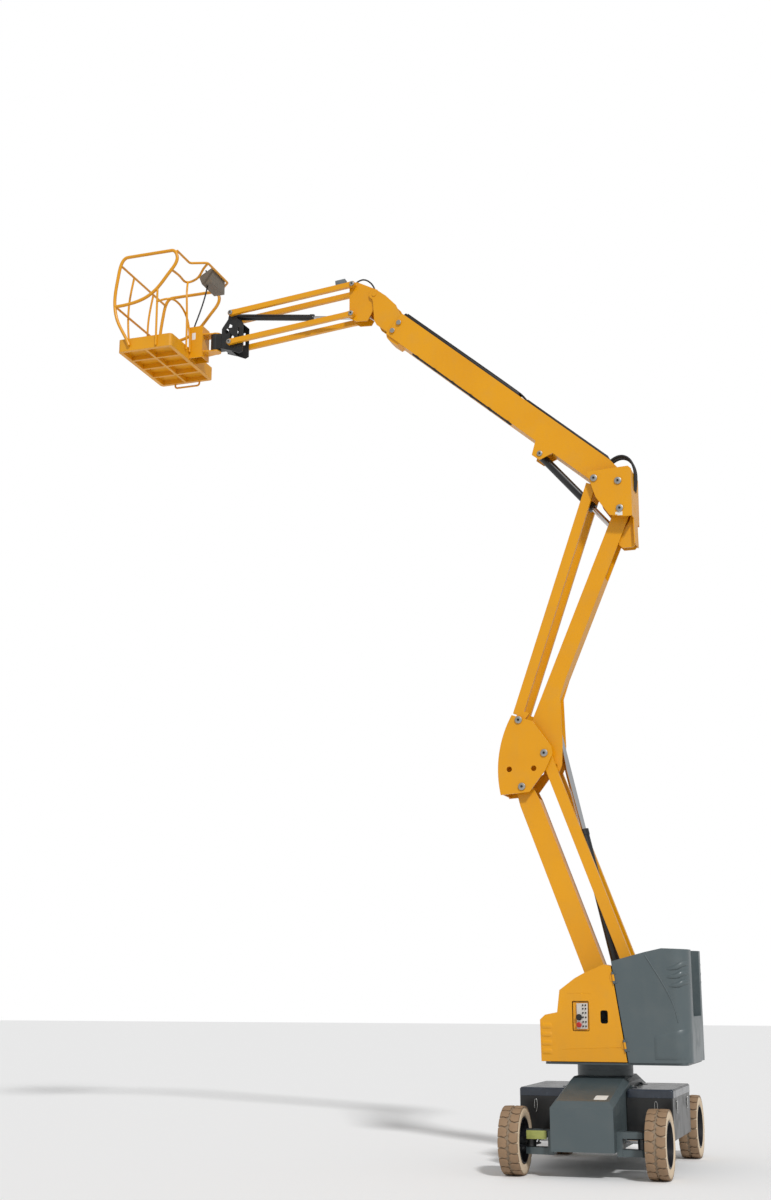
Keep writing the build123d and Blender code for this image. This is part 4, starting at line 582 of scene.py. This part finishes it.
carcass_profile = [
    (199, -76), (206, -86), (222, -92), (250, -94.5), (272, -92), (283, -84), (287, -60),
    (287, 60), (283, 84), (272, 92), (250, 94.5), (222, 92), (206, 86), (199, 76),
]
for name in wheel_names:
    low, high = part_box(f"tyre_{name}")
    centre = (low + high) / 2
    wheel = f"wheel_{name}"
    shape = bmesh.new()
    rings = []
    for across, drop in ((width, r) for r, width in carcass_profile):
        rings.append([
            shape.verts.new(centre + Vector((
                across, drop * math.cos(2 * math.pi * k / 96), drop * math.sin(2 * math.pi * k / 96),
            )) / 1000) for k in range(96)
        ])
    for first, second in zip(rings, rings[1:] + rings[:1]):
        for k in range(96):
            shape.faces.new((first[k], first[(k + 1) % 96], second[(k + 1) % 96], second[k]))
    bmesh.ops.recalc_face_normals(shape, faces=shape.faces)
    mesh = bpy.data.meshes.new("carcass")
    shape.to_mesh(mesh)
    shape.free()
    carcass = finished(f"tyre_carcass_{name}", mesh, tyre_rubber.material, wheel)
    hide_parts(f"tyre_{name}")
    blocks = []
    for half in (-1, 1):
        for step in range(BLOCKS_ROUND):
            angle = 2 * math.pi * (step + (0.5 if half > 0 else 0.0)) / BLOCKS_ROUND
            outward = Vector((0, math.cos(angle), math.sin(angle)))
            sideways = Vector((half, 0, 0))
            ahead = sideways.cross(outward)
            turn = Matrix((ahead, sideways, outward)).transposed()
            blocks.append((centre + outward * (TYRE_RADIUS - GROOVE - 0.5) / 1000, turn.to_quaternion()))
    repeated(f"tyre_tread_{name}", tread_block(), blocks, tyre_rubber.material, wheel)
    outer = 1 if centre.x > slew_x else -1
    nuts = []
    for step in range(9):
        angle = 2 * math.pi * step / 9
        start = centre + Vector((outer * 0.3, 0.078 * math.cos(angle), 0.078 * math.sin(angle)))
        place, _ = skin(f"rim_{name}", start, Vector((-outer, 0, 0)))
        if place is not None:
            nuts.append((place, Vector((outer, 0, 0))))
    if nuts:
        repeated(
            f"wheel_nuts_{name}", turned(((0.5, -4), (10, -4), (10, 12), (7, 15), (0.5, 15)), 6),
            nuts, zinc.material, wheel,
        )
rim_paint = machine_paint("rim_paint", (26, 28, 34), (70, 66, 60), (34, 36, 42), 0.32, 0.004)
dress([f"rim_{name}" for name in wheel_names], rim_paint)

# ================================================================ yellow side hoods
# Moulded covers in the arms' yellow, hinged at the rear. Four ribs step down the front corner,
# two fine creases cross the side, and the ground controls sit in a recess with a pale plate.
RIB_BANDS = ((1030, 1086), (1108, 1166), (1187, 1240), (1262, 1322))
for side, label, way in ((-1, "left", NEAR), (1, "right", FAR)):
    node = f"side_hood_{label}"
    for number, (low_z, high_z) in enumerate(RIB_BANDS):
        patch(
            f"hood_rib_{label}_{number}", node,
            [at(398, side * 900, low_z), at(506, side * 900, low_z),
             at(504, side * 900, high_z), at(396, side * 900, high_z)],
            way, 7, (8, 4), golden_paint, node,
        )
        patch(
            f"hood_front_rib_{label}_{number}", node,
            [at(900, side * 492, low_z), at(900, side * 70, low_z),
             at(900, side * 70, high_z), at(900, side * 492, high_z)],
            FRONT, 7, (12, 4), golden_paint, node,
        )
    for number, (ends, drop) in enumerate((((244, 20), (1591, 1591)), ((300, -262), (1082, 1102)))):
        crease = []
        for step in range(9):
            reach = ends[0] + (ends[1] - ends[0]) * step / 8
            height = drop[0] + (drop[1] - drop[0]) * step / 8
            place, facing = skin(node, at(reach, side * 900, height), way)
            if place is not None:
                crease.append(place - facing * 0.0008)
        if len(crease) > 2:
            hose(f"hood_crease_{label}_{number}", crease, 2.2, golden_paint, node)

panel_face = Finish("panel_plate", (206, 200, 192), 0.42)
panel_face.feed("Base Color", panel_face.tint(panel_face.noise(55.0), (186, 180, 172)))
panel_face.feed("Roughness", panel_face.noise(30.0) * 0.2 + 0.35)
red_plastic = Finish("red_plastic", (176, 34, 26), 0.35)
red_plastic.feed("Roughness", red_plastic.noise(60.0) * 0.15 + 0.28)
dark_plastic = Finish("dark_plastic", (28, 27, 28), 0.5)
dark_plastic.feed("Roughness", dark_plastic.noise(60.0) * 0.2 + 0.42)
dress(("control_box",), golden_paint)
PANEL_FACE = -524
slab(
    "panel_plate", [(156, 1500), (50, 1500), (56, 1266), (156, 1266)], (-519, PANEL_FACE),
    panel_face.material, "turret", 1.5,
)
repeated(
    "panel_knob", turned(((0.5, 0), (28, 0), (29, 10), (23, 18), (0.5, 18)), 28),
    [(at(134, PANEL_FACE, 1372), FAR)], dark_plastic.material, "turret",
)
repeated(
    "panel_button", turned(((0.5, 0), (14, 0), (14, 10), (25, 12), (25, 20), (16, 25), (0.5, 26)), 28),
    [(at(134, PANEL_FACE, 1304), FAR)], red_plastic.material, "turret",
)
repeated(
    "panel_toggles", turned(((0.5, 0), (8, 0), (8, 4), (3.5, 5), (3.5, 14), (0.5, 15)), 14),
    [
        (at(reach, PANEL_FACE, height), FAR)
        for reach in (70, 96) for height in (1290, 1330, 1372, 1412, 1450, 1482)
    ], dark_plastic.material, "turret",
)
for side, label, way in ((-1, "left", NEAR), (1, "right", FAR)):
    node = f"side_hood_{label}"
    place, facing = skin(node, at(-104, side * 900, 1375), way)
    if place is not None:
        skin_y = place.y * 1000
        slab(
            f"hood_handle_{label}",
            [(-76, 1425), (-84, 1434), (-122, 1434), (-130, 1425), (-136, 1328), (-128, 1316),
             (-92, 1316), (-82, 1326)],
            (skin_y - side * 4, skin_y + side * 2.5), dark_plastic.material, node, 2.0,
        )

# ================================================================ grey rear cover
# The counterweight's moulded cover, slate grey with a satin sheen. A raised crease runs down
# its side, three louvre ribs curl round the rear corner, and a broad band runs along its foot.
cover_paint = machine_paint("cover_paint", (80, 91, 94), (104, 108, 106), (88, 99, 102), 0.34)
dress(("counterweight",), cover_paint)
louvres = (
    ((-676, 1806, 0.25), (-735, 1812, 1.0), (-800, 1826, 1.35), (-845, 1862, 1.5), (-893, 1862, 1.2)),
    ((-672, 1734, 0.25), (-735, 1738, 1.0), (-795, 1744, 1.35), (-842, 1778, 1.5), (-893, 1772, 1.2)),
    ((-690, 1655, 0.25), (-748, 1658, 1.0), (-805, 1664, 1.35), (-845, 1694, 1.5), (-893, 1690, 1.2)),
)
for side, label, way in ((-1, "left", NEAR), (1, "right", FAR)):
    for number, louvre in enumerate(louvres):
        line, thick = [], []
        for reach, height, width in louvre:
            place, facing = skin("counterweight", at(reach, side * 900, height), way)
            if place is not None:
                line.append(place - facing * 0.010)
                thick.append(width)
        corner = line[-1] if line else None
        for inward in (60, 140):
            place, facing = skin(
                "counterweight", at(-1500, side * (542 - inward), louvre[-1][1]), BACK,
            )
            if place is not None and corner is not None:
                line.append(place - facing * 0.010)
                thick.append(1.0 if inward == 60 else 0.25)
        if len(line) > 2:
            hose(
                f"cover_louvre_{label}_{number}", line, 21, cover_paint, "turret", thick,
            )
    crease = []
    for reach, height in ((-507, 1936), (-583, 1815), (-694, 1628), (-773, 1442), (-790, 1329)):
        place, facing = skin("counterweight", at(reach, side * 900, height), way)
        if place is not None:
            crease.append(place - facing * 0.001)
    if len(crease) > 2:
        hose(f"cover_crease_{label}", crease, 7, cover_paint, "turret")
    patch(
        f"cover_band_{label}", "counterweight",
        [at(-560, side * 900, 990), at(-884, side * 900, 990),
         at(-884, side * 900, 1282), at(-560, side * 900, 1206)],
        way, 9, (16, 10), cover_paint, "turret",
    )

# ================================================================ hoses on the arms and boom
# Black pressure hoses run along the boom in a plastic tray on its back and in clips below it,
# and three loop over the head bracket, free between their two ends.


def free_hose(name, points, radius, material, body):
    """A round run that hangs free between its two ends."""
    drawn = drawn_run(name, points, 0)
    line = frozen(drawn)
    drawn.data.bevel_depth = radius / 1000
    drawn.data.materials.append(material)
    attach(drawn, body)
    return drawn


hose_rubber = Finish("hose_rubber", (20, 20, 21), 0.55)
hose_rubber.feed("Roughness", hose_rubber.noise(200.0) * 0.2 + 0.45)
hose_rubber.relief(hose_rubber.noise(500.0, 1.0), 0.0003)


def run_over(node, body, name, start, end, side, away, lift, radius, count=9):
    """A hose laid on the node between two side-view points, seen from the way it faces."""
    line = []
    for step in range(count):
        u = step / (count - 1)
        reach = start[0] + (end[0] - start[0]) * u
        height = start[1] + (end[1] - start[1]) * u
        origin = at(reach, side, height)
        place, facing = skin(node, origin - away * 0.6, away)
        if place is not None:
            line.append(place - away * lift / 1000)
    if len(line) > 2:
        hose(name, line, radius, hose_rubber.material, body)


BOOM_RISE = math.radians(41.0)
boom_foot = joints["boom_lift"]["pos_m"]


def on_boom(along, above):
    """Side-view reach and height from a place along the boom and above its middle line."""
    reach = (slew_x - boom_foot[0]) * 1000
    return (
        reach + along * math.cos(BOOM_RISE) - above * math.sin(BOOM_RISE),
        boom_foot[2] * 1000 + along * math.sin(BOOM_RISE) + above * math.cos(BOOM_RISE),
    )


boom_down = Vector((-math.sin(BOOM_RISE), 0, -math.cos(BOOM_RISE)))
for label, start, end, width in (("front", 1530, 3262, 34), ("rear", 278, 1438, 30)):
    slab(
        f"boom_hose_tray_{label}",
        [on_boom(start, 144), on_boom(end, 144), on_boom(end - 12, 144 + width),
         on_boom(start + 30, 144 + width)],
        (-78, 44), dark_plastic.material, "boom_outer", 4.0,
    )
for number, side in enumerate((-60, -38, -14, 12, 30)):
    hose(
        f"boom_top_hose_{number}",
        [at(on_boom(1400, 150)[0], side, on_boom(1400, 150)[1]),
         at(on_boom(1480, 176)[0], side, on_boom(1480, 176)[1]),
         at(on_boom(1600, 184)[0], side, on_boom(1600, 184)[1]),
         at(on_boom(2600, 184)[0], side, on_boom(2600, 184)[1]),
         at(on_boom(3230, 182)[0], side, on_boom(3230, 182)[1])],
        8, hose_rubber.material, "boom_outer",
    )
for number, side in enumerate((-104, -84)):
    run_over(
        "boom_outer", "boom_outer", f"boom_under_hose_{number}", on_boom(1390, 0),
        on_boom(2850, 0), side, boom_down * -1, 10, 8,
    )
clip_spots = []
for step in range(6):
    reach, height = on_boom(1430 + 270 * step, 0)
    place, _ = skin("boom_outer", at(reach, -94, height) + boom_down * 0.6, boom_down * -1)
    if place is not None:
        clip_spots.append((place, boom_down))
repeated(
    "boom_hose_clips", turned(((0.5, -2), (30, -2), (30, 6), (24, 20), (0.5, 23)), 12),
    clip_spots, dark_plastic.material, "boom_outer",
)
repeated(
    "boom_pad_heads", turned(((0.5, -3), (27, -3), (28, 0), (28, 6), (24, 9), (0.5, 9))),
    [
        (skin("boom_outer", at(reach, side * 700, height), Vector((0, -side, 0)))[0], Vector((0, side, 0)))
        for reach, height in ((2034, 8862), (2110, 8776)) for side in (-1, 1)
    ], zinc.material, "boom_outer",
)
for number, side in enumerate((-60, -35, 35)):
    free_hose(
        f"bracket_hose_{number}",
        [at(-505, side, 6650), at(-525, side, 6780), at(-520, side, 6900), at(-470, side, 7010),
         at(-380, side, 7050), at(-280, side, 7010), at(-235, side, 6960)],
        13, hose_rubber.material, "head_bracket",
    )
patch(
    "bracket_sticker", "head_bracket",
    [at(-326, -700, 6322), at(-413, -700, 6322), at(-413, -700, 6392), at(-326, -700, 6392)],
    NEAR, 1.2, (6, 6), sticker.material, "head_bracket",
)

# ================================================================ jib
# A pin housing and a grey junction box stand at the jib's foot, and one hose arches from the
# housing to the boom's neck. The head is an open lattice of black plate.
junction_grey = Finish("junction_grey", (112, 118, 122), 0.45)
junction_grey.feed("Roughness", junction_grey.noise(70.0) * 0.2 + 0.38)
junction_grey.feed("Base Color", junction_grey.tint(junction_grey.noise(20.0), (96, 102, 106)))
slab(
    "jib_junction_box", [(2668, 9432), (2788, 9421), (2794, 9478), (2674, 9489)],
    (-138, -66), junction_grey.material, "jib_upper_tubes", 4.0,
)
free_hose(
    "jib_hose",
    [at(2560, -60, 9452), at(2520, -58, 9480), at(2450, -55, 9478), at(2380, -52, 9420),
     at(2345, -50, 9350), at(2325, -48, 9300)],
    9, hose_rubber.material, "jib_base",
)

# ================================================================ basket
# The floor is a folded tray with a chequered non-slip deck; thick end frames and thinner rails
# are welded tube. A moulded console sits in the guard, with its cable to the mount.
tray_paint = machine_paint("tray_paint", (226, 156, 0), (170, 130, 60), (206, 138, 0), 0.42)
dress(("basket_floor",), tray_paint)
console_plastic = Finish("console_plastic", (120, 110, 96), 0.5)
console_plastic.feed(
    "Base Color", console_plastic.tint(console_plastic.noise(26.0), (92, 86, 78)),
)
console_plastic.feed("Roughness", console_plastic.noise(50.0) * 0.25 + 0.4)
console_plastic.relief(console_plastic.noise(700.0, 1.0), 0.0002, 0.004)
dress(("control_console",), console_plastic.material)
TOP_RAIL, TRAY_TOP = 9940.04, 8920.04
MID_RAIL, GUARD_HEIGHT = TOP_RAIL - 605, TOP_RAIL - 15
OUTER_RAIL, INNER_RAIL, GUARD_REACH = 5305.36, 4579.36, 4375.36
TRAY_INNER, POST_REACH, WALL_GAP = 4625.36, 4815.36, 12.8
END_SIDE, TRAY_SIDE, GUARD_NEAR, GUARD_FAR = 584.3, 577.8, -188, 380
FRAME_TUBE, RAIL_TUBE, POST_TUBE = 19, 14, 12.5


def bowed(corners, first=None, last=None, parts=16):
    """Points on the cubic that runs through these corners at an even pace, led by its end slopes."""
    knots = np.array(corners, float)
    spans = np.linalg.norm(np.diff(knots, axis=0), axis=1)
    count = len(knots)
    grid, aims = np.zeros((count, count)), np.zeros_like(knots)
    for row in range(1, count - 1):
        before, after = spans[row - 1], spans[row]
        grid[row, row - 1:row + 2] = after, 2 * (before + after), before
        aims[row] = 3 * (
            after * (knots[row] - knots[row - 1]) / before
            + before * (knots[row + 1] - knots[row]) / after
        )
    for row, near, given in ((0, 1, first), (count - 1, count - 2, last)):
        if given is None:
            grid[row, row], grid[row, near] = 2, 1
            low, high = min(row, near), max(row, near)
            aims[row] = 3 * (knots[high] - knots[low]) / spans[low]
        else:
            grid[row, row] = 1
            aims[row] = np.array(given, float) / np.linalg.norm(given)
    slopes = np.linalg.solve(grid, aims)
    line = [knots[0]]
    for row, span in enumerate(spans):
        for part in range(1, parts + 1):
            t = part / parts
            line.append(
                (2 * t ** 3 - 3 * t ** 2 + 1) * knots[row] + (t ** 3 - 2 * t ** 2 + t) * span * slopes[row]
                + (3 * t ** 2 - 2 * t ** 3) * knots[row + 1] + (t ** 3 - t ** 2) * span * slopes[row + 1]
            )
    return line


def bent(corners, bend, parts=8):
    """Straight runs joined by arcs of this radius."""
    line = [np.array(corners[0], float)]
    for before, corner, after in zip(corners, corners[1:], corners[2:]):
        corner = np.array(corner, float)
        back, on = np.array(before) - corner, np.array(after) - corner
        back, on = back / np.linalg.norm(back), on / np.linalg.norm(on)
        reach = bend / math.tan(math.acos(np.clip(back @ on, -1, 1)) / 2)
        for part in range(parts + 1):
            t = part / parts
            line.append(
                (1 - t) ** 2 * (corner + back * reach) + 2 * t * (1 - t) * corner
                + t ** 2 * (corner + on * reach)
            )
    return line + [np.array(corners[-1], float)]


rail_runs = []
for end in (-1, 1):
    side = end * END_SIDE
    hoop = bowed(
        [(OUTER_RAIL - 150, side, TRAY_TOP - 95), (OUTER_RAIL + 14, side, TOP_RAIL - 780),
         (OUTER_RAIL + 58, side, TOP_RAIL - 520), (OUTER_RAIL + 27, side, TOP_RAIL - 236),
         (OUTER_RAIL - 95, side, TOP_RAIL)], (0.35, 0, 1), (-1, 0, 0),
    )
    arc = bowed(
        [(INNER_RAIL + 70, side, TOP_RAIL), (INNER_RAIL, side, TOP_RAIL - 75),
         (INNER_RAIL + 95, side, TOP_RAIL - 276), (INNER_RAIL + 215, side, TOP_RAIL - 421),
         (INNER_RAIL + 355, side, TOP_RAIL - 530), (INNER_RAIL + 555, side, TOP_RAIL - 590),
         (OUTER_RAIL + 46, side, MID_RAIL)], (-1, 0, 0), (1, 0, 0),
    )
    rail_runs += [
        (FRAME_TUBE, hoop + arc),
        (POST_TUBE, [(POST_REACH, side, TOP_RAIL - 440), (POST_REACH, end * TRAY_SIDE, TRAY_TOP - 130)]),
    ]
for reach, height in ((OUTER_RAIL - 2, TOP_RAIL - 92), (OUTER_RAIL + 46, MID_RAIL)):
    rail_runs.append((RAIL_TUBE, [(reach, -END_SIDE, height), (reach, END_SIDE, height)]))
for side in (-250, 250):
    rail_runs.append((POST_TUBE, bowed([
        (OUTER_RAIL - 4, side, TOP_RAIL - 87), (OUTER_RAIL + 50, side, TOP_RAIL - 420),
        (OUTER_RAIL + 46, side, TOP_RAIL - 780), (OUTER_RAIL + WALL_GAP, side, TRAY_TOP - 50),
    ])))
rail_runs += [
    (RAIL_TUBE, bent([
        (INNER_RAIL, -END_SIDE, GUARD_HEIGHT), (INNER_RAIL, GUARD_NEAR - 60, GUARD_HEIGHT),
        (GUARD_REACH, GUARD_NEAR, GUARD_HEIGHT), (GUARD_REACH, GUARD_FAR, GUARD_HEIGHT),
        (INNER_RAIL, END_SIDE, GUARD_HEIGHT),
    ], 45)),
    (RAIL_TUBE, bowed([
        (INNER_RAIL + 75, -END_SIDE, TOP_RAIL - 235), (INNER_RAIL + 78, -300, TOP_RAIL - 215),
        (INNER_RAIL + 70, -120, TOP_RAIL - 190), (INNER_RAIL - 15, -70, TOP_RAIL - 130),
        (GUARD_REACH + 70, -150, TOP_RAIL - 60), (GUARD_REACH, GUARD_NEAR + 10, GUARD_HEIGHT),
    ])),
    (POST_TUBE, bowed([
        (INNER_RAIL + 66, -150, TOP_RAIL - 200), (INNER_RAIL + 52, -195, TOP_RAIL - 340),
        (INNER_RAIL + 40, -205, TOP_RAIL - 560), (TRAY_INNER - WALL_GAP, -205, TRAY_TOP - 60),
    ])),
    (POST_TUBE, bowed([
        (POST_REACH, -END_SIDE, TOP_RAIL - 615), (POST_REACH - 130, 4 - END_SIDE, TOP_RAIL - 600),
        (INNER_RAIL + 62, -370, TOP_RAIL - 575), (INNER_RAIL + 60, -150, TOP_RAIL - 670),
        (INNER_RAIL + 42, -113, TOP_RAIL - 850), (TRAY_INNER - WALL_GAP, -113, TRAY_TOP - 60),
    ])),
]
rail_shape = bmesh.new()
for radius, line in rail_runs:
    drawn = drawn_run("rail", [at(*place) for place in line], radius, steps=2)
    rail_shape.from_mesh(frozen(drawn))
    bpy.data.objects.remove(drawn)
rail_mesh = bpy.data.meshes.new("rail_tubes")
rail_shape.to_mesh(rail_mesh)
rail_shape.free()
rails = finished("rail_tubes", rail_mesh, golden_paint, "basket")
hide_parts("basket_rails")

floor_low, floor_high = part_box("basket_floor")
deck_studs = []
deck_reach = [slew_x * 1000 - floor_high.x * 1000 + 70 + 38 * step for step in range(15)]
for column, reach in enumerate(deck_reach):
    for row in range(28):
        side = -513 + 38 * row
        place, facing = skin("basket_floor", at(reach, side, 9300), DOWN)
        if place is not None and place.z < floor_low.z + 0.16:
            lean = Vector((1, 1 if (row + column) % 2 else -1, 0)).normalized()
            turn = Matrix((lean, Vector((0, 0, 1)).cross(lean), Vector((0, 0, 1)))).transposed()
            deck_studs.append((place, turn.to_quaternion()))
stud = bpy.data.meshes.new("stud")
stud.from_pydata(
    [(-0.013, 0, 0), (0, -0.0035, 0), (0.013, 0, 0), (0, 0.0035, 0), (-0.006, 0, 0.0018), (0.006, 0, 0.0018)],
    [], [(0, 1, 4), (1, 5, 4), (1, 2, 5), (2, 3, 5), (3, 4, 5), (3, 0, 4)],
)
repeated("deck_studs", stud, deck_studs, tray_paint, "basket")
console_low, console_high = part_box("control_console")
console_mid = (console_low + console_high) / 2
console_reach = (slew_x - console_mid.x) * 1000
sticks = []
for side in (40, 130, 220):
    place, facing = skin("control_console", at(console_reach, side, 10300), DOWN)
    if place is not None:
        sticks.append((place, facing))
if sticks:
    repeated(
        "console_levers",
        turned(((0.5, -3), (24, -3), (22, 6), (9, 16), (7, 50), (13, 58), (13, 84), (0.5, 90)), 20),
        sticks, dark_plastic.material, "basket", 0.7,
    )
under = console_low.z * 1000
free_hose(
    "console_cable",
    [at(console_reach, 40, under + 20), at(console_reach + 10, 38, under - 60),
     at(console_reach + 40, 20, under - 220), at(console_reach + 70, -40, under - 420),
     at(console_reach + 105, -70, under - 560), at(console_reach + 118, -80, under - 640)],
    9, hose_rubber.material, "basket",
)
patch(
    "mount_sticker", "basket_mount",
    [at(4600, -700, 9010), at(4545, -700, 9010), at(4545, -700, 9110), at(4600, -700, 9110)],
    NEAR, 1.2, (6, 6), sticker.material, "basket",
)

# ================================================================ stage, lights and camera
# A white floor under a plain white sky, one soft sun from the upper left, and the camera low
# in front of the machine's left corner.
floor_mesh = bpy.data.meshes.new("floor")
floor_mesh.from_pydata(
    [(-60, -60, 0), (60, -60, 0), (60, 60, 0), (-60, 60, 0)], [], [(0, 1, 2, 3)],
)
floor = bpy.data.objects.new("floor", floor_mesh)
bpy.context.scene.collection.objects.link(floor)
floor_paint = Finish("floor_paint", (244, 244, 244), 0.9)
floor.data.materials.append(floor_paint.material)

world = bpy.data.worlds.new("studio")
bpy.context.scene.world = world
world.use_nodes = True
sky = world.node_tree
plain = sky.nodes["Background"]
plain.inputs["Color"].default_value = (1, 1, 1, 1)
plain.inputs["Strength"].default_value = 0.50
seen = sky.nodes.new("ShaderNodeBackground")
seen.inputs["Strength"].default_value = 1.0
seen.inputs["Color"].default_value = (1, 1, 1, 1)
rays = sky.nodes.new("ShaderNodeLightPath")
choice = sky.nodes.new("ShaderNodeMixShader")
sky.links.new(rays.outputs["Is Camera Ray"], choice.inputs[0])
sky.links.new(plain.outputs[0], choice.inputs[1])
sky.links.new(seen.outputs[0], choice.inputs[2])
sky.links.new(choice.outputs[0], sky.nodes["World Output"].inputs["Surface"])

sun_data = bpy.data.lights.new("sun", "SUN")
sun_data.energy = 2.0
sun_data.angle = math.radians(6)
sun = bpy.data.objects.new("sun", sun_data)
sun.rotation_euler = (math.radians(38), math.radians(34), 0)
bpy.context.scene.collection.objects.link(sun)

FILM_HEIGHT, FOCAL_LENGTH = 36, 46.8
CAMERA_RISE, CAMERA_TURN = 14, 18.54
camera_data = bpy.data.cameras.new("camera")
camera_data.sensor_fit = "VERTICAL"
camera_data.sensor_height = FILM_HEIGHT
camera_data.lens = FOCAL_LENGTH
camera = bpy.data.objects.new("camera", camera_data)
camera.location = (slew_x + 2.97, -15.51, 1.63)
camera.rotation_euler = (math.radians(90 + CAMERA_RISE), 0, math.radians(CAMERA_TURN))
bpy.context.scene.collection.objects.link(camera)
bpy.context.scene.camera = camera
bpy.context.scene.view_settings.view_transform = "Standard"
